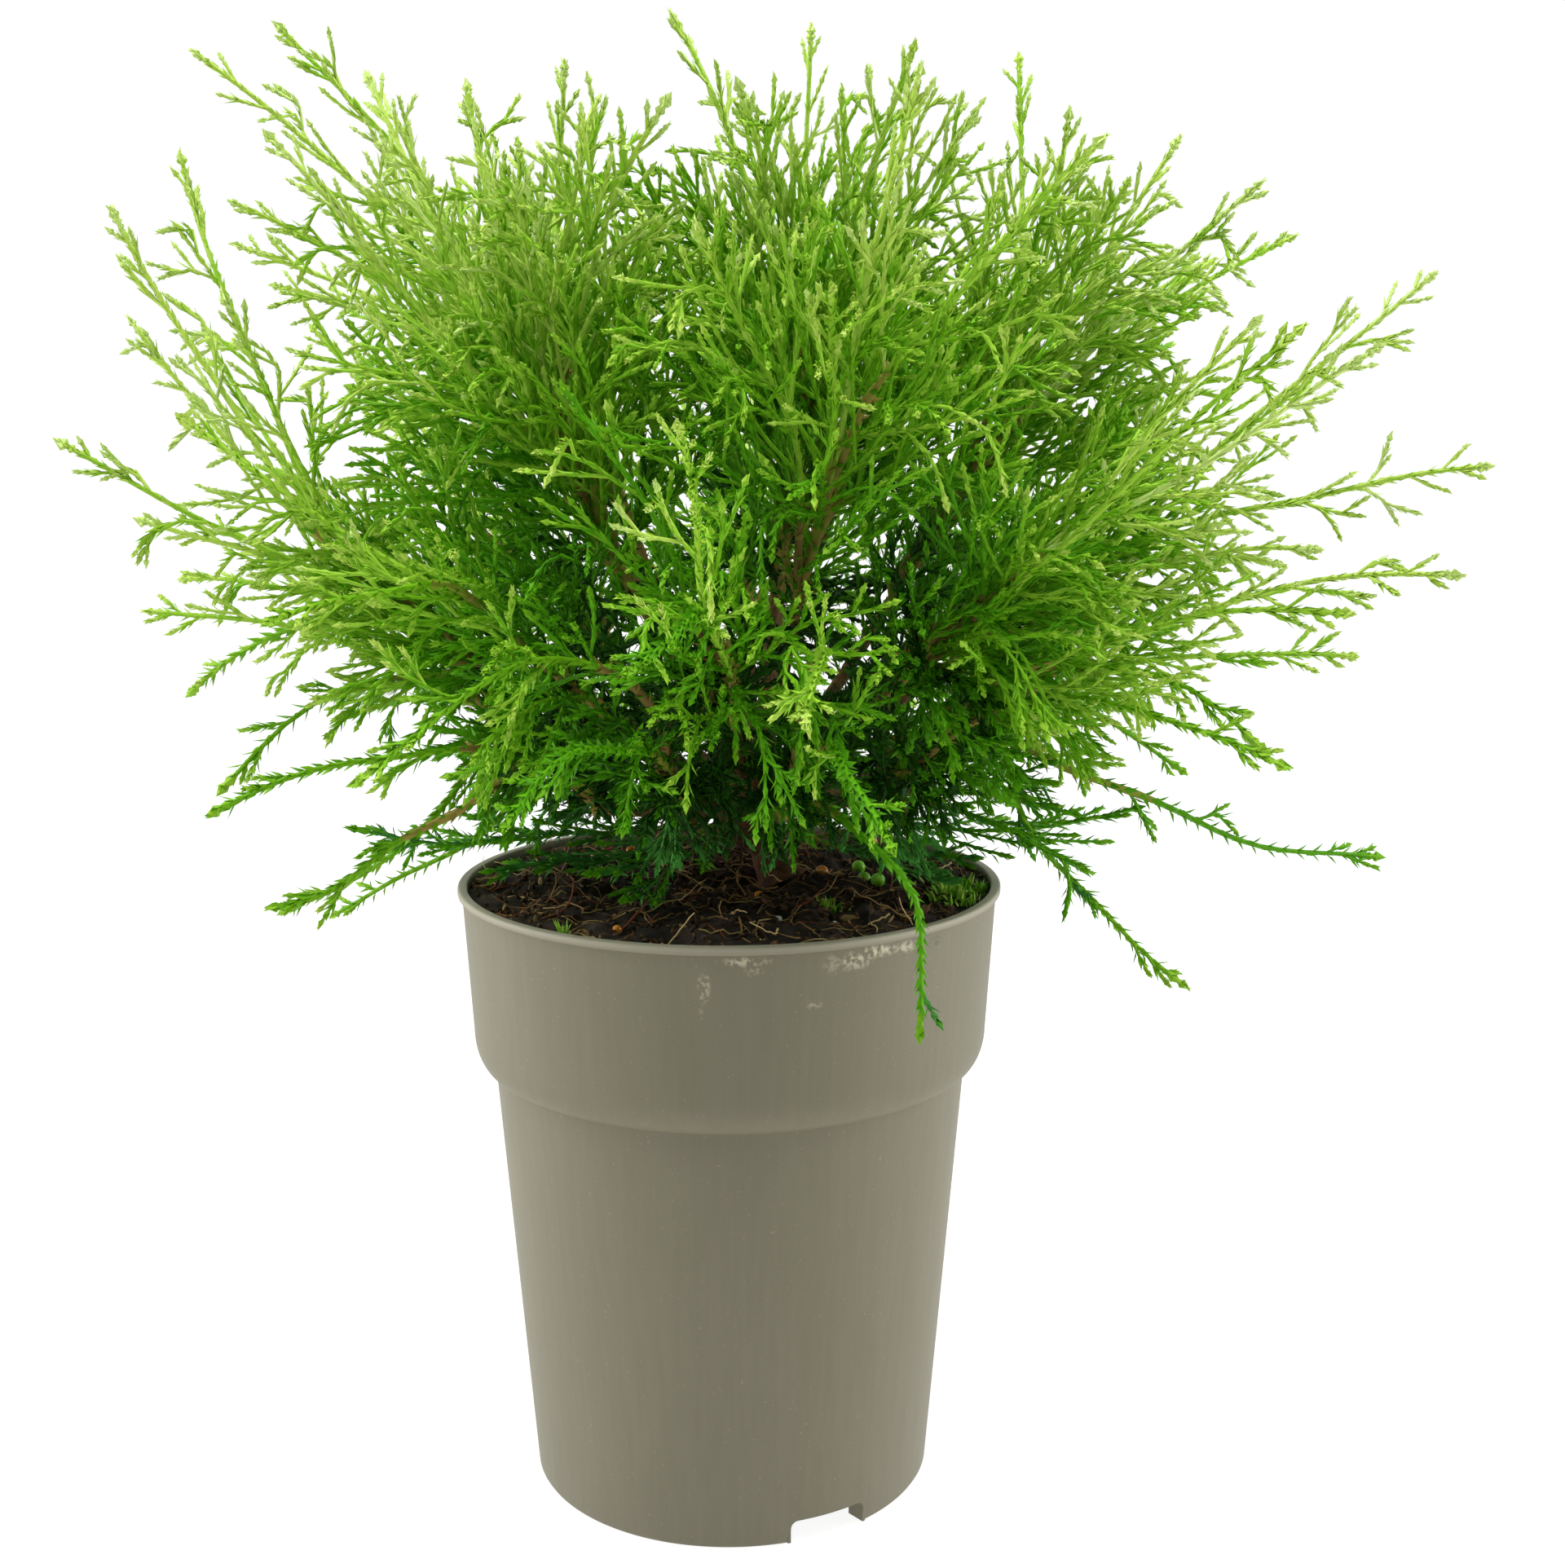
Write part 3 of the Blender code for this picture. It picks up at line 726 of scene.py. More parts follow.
@dataclass
class Crown:
    """The boughs and every shoot that they carry.

    Pairs are the two ends of a draw or of a span. Those named rule are a share of a length and what is
    added to it. Leans, bends, droops, turns and rises are in degrees.
    """

    rule: GrowthRule = field(default_factory=GrowthRule)
    step: float = 7.0 * MM
    waver: float = 1.8 * MM
    least_steps: int = 6
    waver_phase: float = 6.28
    waver_waves: tuple = (9.0, 7.0)
    wander: float = 5.0
    leader_girth: float = 1.2 * MM
    leader_end: float = 0.68 * MM
    leader_taper: float = 1.1
    leader_least: float = 0.12
    side_girth: float = 0.62 * MM
    sprig_girth: float = 0.48 * MM
    bare_bough: float = 0.62
    bough_sunk: float = 3.0 * MM
    bow_size: float = 1.2
    bow_toss: tuple = (0.3, 1.0)
    leader_woody: tuple = (0.24, 0.42)
    low_arch: float = 0.35
    arch_from: tuple = (-6.0, 10.0)
    arch_to: tuple = (12.0, 28.0)
    low_sag: float = 0.12
    rim_handle: tuple = (6.0 * MM, 3.0 * MM)
    over_rim: float = 1.09
    over_rim_height: float = 28.0 * MM
    near_rim: float = 30.0 * MM
    hanging_bare: float = 0.45
    hanging_woody: float = 0.4
    hanging_light: float = 0.2
    # Painted light of a spray: the least, what the outside adds low down and high up,
    # and the painted shade of the front.
    light_parts: tuple = (0.08, 0.30, 0.46, 0.20)
    light_outward: tuple = (0.40, 1.12)
    light_upward: tuple = (-12.0, 26.0)
    shade_front: tuple = (0.35, 0.90)
    shade_rise: tuple = (32.0, 72.0)
    light_toss: float = 0.07
    # Side shoots: their places first, then their lengths, as a share of what is left of the leader and more.
    first_side: tuple = (0.8, 1.6)
    side_gap_toss: tuple = (0.65, 1.25)
    root_gap: float = 0.2
    past_gap: float = 2.6
    past_sparse: float = 1.4
    side_turn_toss: tuple = (-20, 20)
    side_rule: tuple = (0.8, 12.0 * MM)
    side_toss: tuple = (0.75, 1.10)
    past_rule: tuple = (0.45, 5.0 * MM)
    past_full: tuple = (0.1, 0.9)
    room_toss: tuple = (0.94, 1.10)
    room_share: float = 1.05
    full_rise: tuple = (6.0, 34.0)
    bend_toss: tuple = (0.3, 1.3)
    drooping: tuple = (0.28, 0.35)
    side_taper: float = 0.35
    cut_back: float = 0.85
    near_least: float = 1.01
    side_spacing: float = 8.5 * MM
    side_least: float = 9.0 * MM
    side_most: float = 70.0 * MM
    side_bend: float = 22.0
    side_droop: tuple = (30, 95)
    side_lean: tuple = (50.0, 31.0)
    wedge_slack: float = 16.0 * MM
    over_reach: float = 4.0 * MM
    least_over_reach: float = 4.0 * MM
    tip_bare: float = 4.0 * MM
    low_fullness: float = 0.45
    past_spread: float = 28.0 * MM
    fork_places: tuple = (5.0 * MM, 10.0 * MM, 16.0 * MM)
    fork_lean: tuple = (24.0, 40.0)
    fork_rule: tuple = (0.4, 3.0 * MM)
    fork_toss: tuple = (0.8, 1.3)
    fork_place_toss: tuple = (0.85, 1.15)
    # Forks, sprigs, spurs and low sprigs get a little more painted light than the shoot they leave.
    fork_lighter: float = 0.04
    fine_turn_toss: tuple = (-40, 40)
    fine_bend: float = 6.0
    sprig_spacing: float = 9.2 * MM
    sprig_from: tuple = (0.22, 0.34)
    sprig_lean: tuple = (27.0, 42.0)
    sprig_most: float = 36.0 * MM
    sprig_rule: tuple = (0.7, 6.0 * MM)
    sprig_toss: tuple = (0.6, 1.15)
    sprig_gap_toss: tuple = (0.7, 1.3)
    sprig_lighter: tuple = (0.03, 0.04)
    sprig_bend: float = 12.0
    sprig_droop: tuple = (30, 80)
    hooked: float = 0.3
    spur_bearing: float = 10.0 * MM
    spur_places: tuple = (0.4, 0.7)
    spurless: float = 0.7
    spur_lighter: float = 0.03
    spur_lean: tuple = (28.0, 45.0)
    spur_size: tuple = (5.0, 9.0)
    low_tips: tuple = (
        (-25, -45, 176), (-34, -38, 181), (-63, -22, 178), (23, -60, 201), (-9, -56, 204), (59, -28, 177),
        (31, -64, 206), (66, -6, 178), (-50, 30, 182), (20, 55, 182), (-12, 60, 186), (60, 30, 182),
        (92, -12, 165), (-52, 60, 184), (44, 66, 186),
        (-100, -12, 187), (-68, 14, 190), (94, -4, 190), (-88, -22, 205), (-82, 18, 202), (112, 6, 189),
    )
    low_light: tuple = (0.14, 0.38)
    low_woody: float = 0.25
    low_spacing: float = 6.5 * MM
    low_lift: float = 6.0 * MM
    low_sunk: float = 2.0 * MM
    low_clear: float = 2.0 * MM
    low_girth_rule: tuple = (0.55, 0.1 * MM)
    low_span: tuple = (0.3, 0.92)
    low_ahead: float = 1.2
    low_up: tuple = (-0.15, 0.3)
    low_rule: tuple = (0.45, 5.0 * MM)
    low_toss: tuple = (0.7, 1.1)
    low_lighter: float = 0.05
    shoots: dict[str, list[Shoot]] = field(default_factory=dict)
    boughs: dict[str, list[Vector]] = field(default_factory=dict)

    def grow(self) -> None:
        """Grow every mass, and the low sprays that hang over the soil."""
        dice = Random(SEED)
        rule = self.rule
        wedges = rule.plan_wedges(dice)
        leaders = rule.share_out(wedges, rule.leader_tips(dice))
        fills = rule.share_out(wedges, rule.fill_tips(Random(f"{SEED} fills")))
        for wedge in wedges:
            self.grow_mass(wedge, leaders[wedge.name], fills[wedge.name])
        self.grow_low_sprays(Random(f"{SEED} low sprays"))

    def grow_mass(self, wedge: Wedge, tips: list[Vector], fills: list[Vector]) -> None:
        """Grow one mass: its bough, its stem and leaders, and their side shoots.

        Args:
            wedge: The mass's wedge.
            tips: The tips of the long leaders that lie in it.
            fills: The tips of the leaders that fill it.
        """
        rule = self.rule
        dice = Random(f"{SEED} {wedge.name}")
        bow = dice.uniform(*self.bow_toss)
        end = rule.bough_end(wedge)
        root = rule.fork + wedge.direction * (rule.knuckle_radius - self.bough_sunk)
        side = wedge.direction.orthogonal().normalized()
        middle = root.lerp(end, 0.5) + side * self.bow_size * MM * bow
        self.boughs[wedge.name] = [root, middle, end]
        tip, *others = rule.plan_leaders(wedge, tips, dice)
        fine = Random(f"{SEED} {wedge.name} fine")
        stem = self.leader(end, wedge.direction, tip, fine)
        leaders = [stem]
        places = [(other, self.leader_least, rule.leader_from) for other in others]
        for other in fills:
            most = rule.leader_from * min(1.0, (other - rule.fork).length / (tip - rule.fork).length)
            places.append((other, 0.0, most))
        for other, least, most in places:
            start, heading = along(stem.points, fine.uniform(least, most))
            leaders.append(self.leader(start, heading, other, fine))
        grown = [shoot for leader in leaders for shoot in self.clothe(wedge, leader, fine)]
        bare = [root.lerp(end, self.bare_bough), end]
        bough = Shoot(bare, [self.leader_girth] * 2, self.painted_light_at(end, fine))
        self.shoots[wedge.name] = leaders + grown + self.clothe(wedge, bough, fine)

    def handle_of(self, start: Vector, heading: Vector, tip: Vector) -> Vector:
        """The handle of a leader's curve: arched where it is low, over the rim where it hangs.

        Args:
            start: Where the leader starts.
            heading: Where its bough points.
            tip: Where it ends.

        Returns:
            The curve's middle control point.
        """
        pot = self.rule.pot_height
        whole = (tip - start).length
        rise = rise_of(tip - self.rule.fork)
        if tip.z < pot:
            level = Vector((tip.x, tip.y, 0.0))
            if level.length < self.rule.rim_radius + self.near_rim:
                return level * self.over_rim + UP * (pot + self.over_rim_height)
            out, up = self.rim_handle
            return level.normalized() * (self.rule.rim_radius + out) + UP * (pot + up)
        if rise < 0.0:
            return start.lerp(tip, 0.5) - UP * self.low_sag * whole
        arch = smooth_step(*self.arch_from, rise) * (1.0 - smooth_step(*self.arch_to, rise))
        handle = start + heading.normalized() * whole * self.rule.handle_share
        return handle + UP * self.low_arch * arch * whole

    def leader(self, start: Vector, heading: Vector, tip: Vector, dice: Random) -> Shoot:
        """A long shoot on an even curve with a slight waver.

        Args:
            start: Its root.
            heading: The direction in which it leaves.
            tip: Its end.
            dice: Where the waver comes from.

        Returns:
            The leader.
        """
        handle = self.handle_of(start, heading, tip)
        steps = max(self.least_steps, round((tip - start).length / self.step))
        side = leaning_off((tip - start).normalized(), 90.0, dice.uniform(0, 360))
        other = side.cross((tip - start).normalized())
        phase, second = (dice.uniform(0, self.waver_phase) for _ in range(2))
        fast, slow = self.waver_waves
        points = []
        girths = []
        for index in range(steps + 1):
            share = index / steps
            point = start.lerp(handle, share).lerp(handle.lerp(tip, share), share)
            calm = sin(pi * share) * self.waver
            point += side * calm * sin(phase + fast * share)
            point += other * calm * sin(second + slow * share)
            points.append(point)
            girths.append(between(self.leader_end, self.leader_girth, (1 - share) ** self.leader_taper))
        light, woody = self.painted_light_at(tip, dice), dice.uniform(*self.leader_woody)
        # The leader that hangs over the rim has less wood and more painted light.
        if tip.z < self.rule.pot_height:
            woody *= self.hanging_woody
            light += self.hanging_light
        return Shoot(points, girths, light, woody, leading=True)

    def painted_light_at(self, place: Vector, dice: Random) -> float:
        """How much painted light a spray's tint gets there, from 0 in painted shade to 1 at the newest tips,
        lit on the outside.

        Args:
            place: The spray's tip.
            dice: Where its chances come from.

        Returns:
            The light, from 0 to 1.
        """
        out = place - self.rule.fork
        least, low, high, shade = self.light_parts
        far = out.length / self.rule.reach(self.rule.leaf_reach, out)
        outward = smooth_step(*self.light_outward, far)
        upward = smooth_step(*self.light_upward, rise_of(out))
        # Painted shade falls on the front of the crown, below the high shoots.
        below = 1.0 - smooth_step(*self.shade_rise, rise_of(out))
        front = smooth_step(*self.shade_front, -out.y / out.length) * below
        return least + outward * (low + high * upward) - shade * front + dice.gauss(0.0, self.light_toss)

    def free_line(
        self, start: Vector, heading: Vector, length: float, bend: float, droop: float, dice: Random
    ) -> list[Vector]:
        """Points along a shoot that bends outwards and up, or droops past its middle.

        Args:
            start: Its root.
            heading: The direction in which it leaves.
            length: Its length.
            bend: How far it bends in all.
            droop: How far it turns down past its middle.
            dice: Where its waver comes from.

        Returns:
            The points.
        """
        steps = max(2, round(length / self.step))
        points = [start.copy()]
        direction = heading.normalized()
        for index in range(steps):
            out = (points[-1] - self.rule.fork).normalized()
            direction = turned_to(direction, (out + self.rule.skyward * UP).normalized(), bend / steps)
            if droop and index >= steps // 2:
                direction = turned_to(direction, (0.5 * out - UP).normalized(), droop / (steps - steps // 2))
            direction = leaning_off(direction, dice.uniform(0.0, self.wander), dice.uniform(0, 360))
            points.append(points[-1] + direction * length / steps)
        return points

    def fits(self, wedge: Wedge | None, points: list[Vector]) -> bool:
        """True where a shoot stays near its wedge, inside the crown's reach and off the pot.

        Args:
            wedge: The wedge it grows in, or None for any.
            points: The shoot's line.

        Returns:
            Whether it may grow.
        """
        rule = self.rule
        for point in points[1:]:
            out = point - rule.fork
            if wedge and wedge.room(out) < -self.wedge_slack:
                return False
            if out.length > rule.reach(rule.tip_reach, out) + self.over_reach:
                return False
            if not rule.clear_of_pot(point):
                return False
        return True

    def sprig(self, points: list[Vector], light: float) -> Shoot:
        """A thin shoot of one girth."""
        return Shoot(points, [self.sprig_girth] * len(points), light)

    def clothe(self, wedge: Wedge, parent: Shoot, dice: Random) -> list[Shoot]:
        """The side shoots along a leader, with all that they carry.

        Args:
            wedge: The space that they keep to.
            parent: The leader.
            dice: Where their sizes and turns come from.

        Returns:
            The shoots.
        """
        rule = self.rule
        tip = parent.points[-1]
        past_reach = (tip - rule.fork).length - rule.reach(rule.tip_reach, tip - rule.fork)
        self.over_reach = max(self.least_over_reach, past_reach)
        hanging = (tip - rule.hanging_tip).length < 1 * MM
        whole = parent.length()
        place = self.side_spacing * dice.uniform(*self.first_side)
        turn = dice.uniform(0, 360)
        grown = []
        while place < whole - self.tip_bare:
            share = place / whole
            start, heading = along(parent.points, share)
            out = start - rule.fork
            room = rule.reach(rule.spread, out) * dice.uniform(*self.room_toss) - out.length
            left = whole - place
            full = between(self.low_fullness, 1, smooth_step(*self.full_rise, rise_of(out)))
            least, more = self.past_full
            beyond = min(part_of(left, self.past_rule), self.past_spread) * (least + more * full)
            sparse = self.past_sparse - full if room < 0 else 0.0
            length = max(room * self.room_share, beyond) * dice.uniform(*self.side_toss)
            length = min(length, self.side_most, part_of(left, self.side_rule))
            if hanging:
                length = self.side_least if share > self.hanging_bare else 0.0
                sparse = 0.0
            aim = leaning_off(heading, between(*self.side_lean, share), turn)
            shoot = self.side_shoot(wedge, start, aim, length, dice)
            if shoot:
                grown += [shoot, *self.sprigs(shoot, dice)]
            turn += GOLDEN_TURN + dice.uniform(*self.side_turn_toss)
            thinner = 1.0 + self.root_gap * (1 - share) + self.past_gap * sparse
            place += self.side_spacing * dice.uniform(*self.side_gap_toss) * thinner
        return grown + self.tip_forks(parent, dice) if len(parent.points) > 2 else grown

    def tip_forks(self, parent: Shoot, dice: Random) -> list[Shoot]:
        """The short shoots that fork from the end of a leader, first on one side, then on the other.

        Args:
            parent: The leader.
            dice: Where its chances come from.

        Returns:
            The new shoots.
        """
        whole = parent.length()
        turn = dice.uniform(0, 360)
        grown = []
        for left in self.fork_places:
            turn += 180.0 + dice.uniform(*self.fine_turn_toss)
            start, heading = along(parent.points, 1.0 - left * dice.uniform(*self.fork_place_toss) / whole)
            aim = leaning_off(heading, dice.uniform(*self.fork_lean), turn)
            length = part_of(left, self.fork_rule) * dice.uniform(*self.fork_toss)
            line = self.free_line(start, aim, length, self.fine_bend, 0.0, dice)
            if self.fits(None, line):
                grown.append(self.sprig(line, parent.light + self.fork_lighter))
        return grown

    def side_shoot(
        self, wedge: Wedge, start: Vector, aim: Vector, length: float, dice: Random
    ) -> Shoot | None:
        """A side shoot, cut back until it fits.

        Args:
            wedge: The space that it keeps to.
            start: Its root.
            aim: The direction in which it leaves.
            length: The length that it would like.
            dice: Where its bend comes from.

        Returns:
            The shoot, or None where none fits.
        """
        level = cos(radians(rise_of(start - self.rule.fork)))
        upright, more = self.drooping
        droop = dice.uniform(*self.side_droop) if dice.random() < upright + more * level else 0.0
        bend = self.side_bend * dice.uniform(*self.bend_toss)
        hanging = start.z < self.rule.pot_height
        while length >= self.side_least:
            points = self.free_line(start, aim, length, bend, droop, dice)
            if self.fits(wedge, points) or hanging and length < self.near_least * self.side_least:
                last = len(points) - 1
                girths = [self.side_girth * (1 - self.side_taper * i / last) for i in range(last + 1)]
                return Shoot(points, girths, self.painted_light_at(points[-1], dice))
            length *= self.cut_back
        return None

    def sprigs(self, parent: Shoot, dice: Random) -> list[Shoot]:
        """The short shoots on both sides of a side shoot, and one or two tiny spurs on each.

        Args:
            parent: The side shoot.
            dice: Where their sizes and turns come from.

        Returns:
            The shoots.
        """
        whole = parent.length()
        place = dice.uniform(*self.sprig_from) * whole
        turn = dice.uniform(0, 360)
        grown = []
        while place < whole - self.tip_bare:
            start, heading = along(parent.points, place / whole)
            aim = leaning_off(heading, dice.uniform(*self.sprig_lean), turn)
            length = part_of(whole - place, self.sprig_rule) * dice.uniform(*self.sprig_toss)
            length = min(length, self.sprig_most)
            droop = dice.uniform(*self.sprig_droop) if dice.random() < self.hooked else 0.0
            points = self.free_line(start, aim, length, self.sprig_bend, droop, dice)
            if length > self.tip_bare and self.fits(None, points):
                sprig = self.sprig(points, parent.light + dice.gauss(*self.sprig_lighter))
                grown.append(sprig)
                if length > self.spur_bearing:
                    grown += self.spurs(sprig, dice)
            turn += 180.0 + dice.uniform(*self.fine_turn_toss)
            place += self.sprig_spacing * dice.uniform(*self.sprig_gap_toss)
        return grown

    def spurs(self, parent: Shoot, dice: Random) -> list[Shoot]:
        """One or two tiny shoots near the end of a sprig.

        Args:
            parent: The sprig.
            dice: Where its chances come from.

        Returns:
            The new shoots.
        """
        grown = []
        for share in self.spur_places:
            if dice.random() < self.spurless:
                continue
            start, heading = along(parent.points, share)
            aim = leaning_off(heading, dice.uniform(*self.spur_lean), dice.uniform(0, 360))
            end = start + aim * dice.uniform(*self.spur_size) * MM
            if self.rule.clear_of_pot(end):
                grown.append(self.sprig([start, end], parent.light + self.spur_lighter))
        return grown

    def grow_low_sprays(self, dice: Random) -> None:
        """The small sprays that leave the foot of the boughs and hang over the soil.

        Args:
            dice: Where its chances come from.
        """
        rule = self.rule
        grown = self.shoots["sprays"] = []
        for place in self.low_tips:
            tip = Vector(place) * MM
            aim = tip - rule.fork
            aim.z = max(aim.z, 0.0) + self.low_lift
            start = rule.fork + aim.normalized() * (rule.knuckle_radius - self.low_sunk)
            leader = self.leader(start, aim, tip, dice)
            leader.girths = [part_of(girth, self.low_girth_rule) for girth in leader.girths]
            leader.woody = self.low_woody
            # The low sprays over the soil get a low painted light, drawn at random.
            leader.light = dice.uniform(*self.low_light)
            grown.append(leader)
            whole = leader.length()
            share, last = self.low_span
            hand = -1
            while share < last:
                root, heading = along(leader.points, share)
                side = heading.cross(UP).normalized() * hand
                aim = (heading * self.low_ahead + side + UP * dice.uniform(*self.low_up)).normalized()
                part, more = self.low_rule
                length = (part * (1 - share) * whole + more) * dice.uniform(*self.low_toss)
                points = self.free_line(root, aim, length, self.fine_bend, 0.0, dice)
                if points[-1].z > rule.pot_height + self.low_clear:
                    grown.append(self.sprig(points, leader.light + self.low_lighter))
                hand = -hand
                share += self.low_spacing / whole


class Bed:
    """Points that carry values: single leaves, or the lines of shoots, one row for each line."""

    def __init__(self, rows: list[dict] | None = None) -> None:
        """Start with these rows, or empty."""
        self.rows = rows or []

    def add(self, **values: np.ndarray) -> None:
        """Lay down some points: their place first, then what they carry."""
        self.rows.append(values)

    def put(self, **values: object) -> None:
        """Lay down one point."""
        self.add(**{label: np.array([value]) for label, value in values.items()})

    def count(self) -> int:
        """How many points it holds."""
        return sum(len(row["place"]) for row in self.rows)

    def mesh(self, name: str, lines: bool = False) -> Mesh:
        """The points as a mesh with their values on them.

        Args:
            name: The mesh's name.
            lines: Whether the points of each row are joined by edges.

        Returns:
            The mesh.
        """
        mesh = bpy.data.meshes.new(name)
        mesh.vertices.add(self.count())
        if lines:
            ends = np.cumsum([len(row["place"]) for row in self.rows])
            first = np.setdiff1d(np.arange(ends[-1]), ends - 1)
            mesh.edges.add(len(first))
            mesh.edges.foreach_set("vertices", np.stack([first, first + 1], axis=1).astype(np.int32).ravel())
        for label in self.rows[0]:
            values = np.concatenate([row[label] for row in self.rows]).astype(
                np.int32 if label == "tint" else np.float32
            )
            if label == "place":
                mesh.vertices.foreach_set("co", values.ravel())
                continue
            kind = "INT" if label == "tint" else "FLOAT" if values.ndim == 1 else "FLOAT_VECTOR"
            store = mesh.attributes.new(label, kind, "POINT")
            store.data.foreach_set("value" if values.ndim == 1 else "vector", values.ravel())
        return mesh


@dataclass
class Foliage:
    """The leaves and threads that clothe a crown. Sizes are a leaf's depth, width and length."""

    crown: Crown
    scale_spacing: float = 3.0 * MM
    awl_spacing: float = 2.3 * MM
    bud_spacing: float = 1.5 * MM
    bud_length: float = 4.6 * MM
    club: float = 1.4
    size_spread: float = 0.12
    inner_reach: tuple = (0.42, 0.85)
    low_rise: tuple = (2.0, 36.0)
    low_awl: float = 0.8
    awl_toss: tuple = (-0.2, 0.2)
    # Painted light of a leaf: what a bud adds at its least and more, more where its spray is lit,
    # and the painted shade of a shoot's root and of awl leaves.
    bud_light: tuple = (0.05, 0.15)
    root_shade: float = 0.08
    awl_shade: float = 0.04
    tone_toss: float = 0.015
    thread_shade: float = 0.05
    knot_height: float = 0.12
    knot_step: float = 2.4
    cold_height: float = 22.0 * MM
    scale_size: tuple = (0.85 * MM, 1.35 * MM, 4.2 * MM)
    awl_size: tuple = (0.75 * MM, 1.2 * MM, 4.3 * MM)
    bud_size: tuple = (1.3 * MM, 1.8 * MM, 3.0 * MM)
    size_toss: tuple = (0.85, 1.15)
    girth_share: tuple = (0.85, 1.45)
    scale_lean: float = 9.0
    awl_lean: float = 36.0
    bud_lean: float = 4.0
    dead_lean: float = 30.0
    last_lean: float = 2.0
    lean_toss: float = 4.0
    dead_lean_toss: float = 6.0
    bud_upright: float = 0.8
    pair_toss: float = 0.12
    leaf_seat: float = 0.45
    most_triangles: int = 185_000
    leaf_triangles: int = 4
    thread_sides: int = 3
    wood_sides: int = 7

    def awl_share(self, out: Vector, dice: Random) -> float:
        """How far a shoot has the spreading awl leaves of young and shaded growth, from 0 to 1.

        Args:
            out: The shoot's tip, seen from the fork of the boughs.
            dice: Where its chances come from.

        Returns:
            The share.
        """
        outward = out.length / self.crown.rule.reach(self.crown.rule.leaf_reach, out)
        inner = 1.0 - smooth_step(*self.inner_reach, outward)
        low = 1.0 - smooth_step(*self.low_rise, rise_of(out))
        return min(1.0, max(0.0, inner + self.low_awl * low + dice.uniform(*self.awl_toss)))

    def stations(self, whole: float, awl: float, leading: bool) -> np.ndarray:
        """How far from its root each pair of leaves stands on a shoot of this length.

        Args:
            whole: The shoot's length.
            awl: The share of awl leaves.
            leading: Whether it is a long leader.

        Returns:
            The distances, in metres.
        """
        spacing = between(self.scale_spacing, self.awl_spacing, awl)
        first = spacing * (0.5 if leading else 1.0)
        tip = self.bud_length * (self.club if leading else 1.0)
        body = np.arange(first, max(whole - tip, first), spacing)
        bud = np.arange(max(whole - tip, 1.0 * MM), whole, self.bud_spacing)
        return np.concatenate([body, bud, [whole]])

    def dress(self, shoot: Shoot, leaves: Bed, dice: Random) -> None:
        """Lay the leaves of one shoot.

        Args:
            shoot: The shoot.
            leaves: The bed that takes them.
            dice: Where their small differences come from.
        """
        line = np.array([tuple(point) for point in shoot.points])
        far = np.concatenate([[0.0], np.cumsum(np.linalg.norm(np.diff(line, axis=0), axis=1))])
        awl = self.awl_share(shoot.points[-1] - self.crown.rule.fork, dice)
        stands = self.stations(shoot.length(), awl, shoot.leading)
        count = len(stands)
        girths = np.interp(stands, far, shoot.girths)
        places, headings = (
            np.stack([np.interp(stands, far, table[:, axis]) for axis in range(3)], axis=1)
            for table in (line, np.gradient(line, far, axis=0))
        )
        headings /= np.linalg.norm(headings, axis=1, keepdims=True)
        first = np.array(leaning_off(Vector(headings[0]), 90.0, dice.uniform(0, 360)))
        side = first - headings * (headings @ first)[:, None]
        side /= np.linalg.norm(side, axis=1, keepdims=True)
        other = np.cross(headings, side)
        toss = np.random.default_rng(dice.getrandbits(32))
        club = self.club if shoot.leading else 1.0
        bud = np.clip(1.0 - (far[-1] - stands) / (self.bud_length * club), 0.0, 1.0) ** 0.5
        wood = stands < shoot.woody * far[-1]
        lean = between(self.scale_lean, self.awl_lean, awl)
        leans = lean + (self.bud_lean - lean) * bud * self.bud_upright
        leans = leans + toss.normal(0.0, self.lean_toss, count)
        leans[wood] = self.dead_lean + toss.normal(0.0, self.dead_lean_toss, int(wood.sum()))
        leans[-1] = self.last_lean
        sizes = np.array(self.scale_size) * (1 - awl) + np.array(self.awl_size) * awl
        sizes = sizes[None] + (np.array(self.bud_size) * club - sizes)[None] * bud[:, None]
        sizes = sizes * toss.uniform(*self.size_toss, (count, 1))
        sizes[:, :2] *= np.clip(girths / self.crown.side_girth, *self.girth_share)[:, None]
        # Each leaf's tint is painted light: its spray's painted light, lighter buds, and painted shade
        # towards the root.
        least, more = self.bud_light
        fresh = least + more * min(1.0, max(0.0, shoot.light))
        shade = self.root_shade * (1 - stands / far[-1])
        light = shoot.light - shade - self.awl_shade * awl + fresh * bud
        light = light + toss.normal(0.0, self.tone_toss, count)
        tints = np.clip(np.round(light * (GREENS - 1)), 0, GREENS - 1 - round(2 * awl)).astype(int)
        # Leaves in painted shade near the soil take the colder painted shade.
        tints[self.is_cold(places[:, 2]) & (tints < Tint.LEAF)] = Tint.COLD
        tints[wood] = toss.choice([Tint.TAN, Tint.DEEP, Tint.LEAF], int(wood.sum()))
        lift, tilt = np.sin(np.radians(leans))[:, None], np.cos(np.radians(leans))[:, None]
        for half in (0.0, pi):
            turns = np.arange(count) * pi / 2 + half + toss.normal(0.0, self.pair_toss, count)
            outward = side * np.cos(turns)[:, None] + other * np.sin(turns)[:, None]
            leaves.add(
                place=places + outward * girths[:, None] * self.leaf_seat,
                aim=headings * tilt + outward * lift,
                face=outward * tilt - headings * lift, size=sizes, tint=tints,
            )

    def is_cold(self, height: float | np.ndarray) -> bool | np.ndarray:
        """Whether a place is so low that its leaves in painted shade take the colder painted shade."""
        return height < self.crown.rule.pot_height + self.cold_height

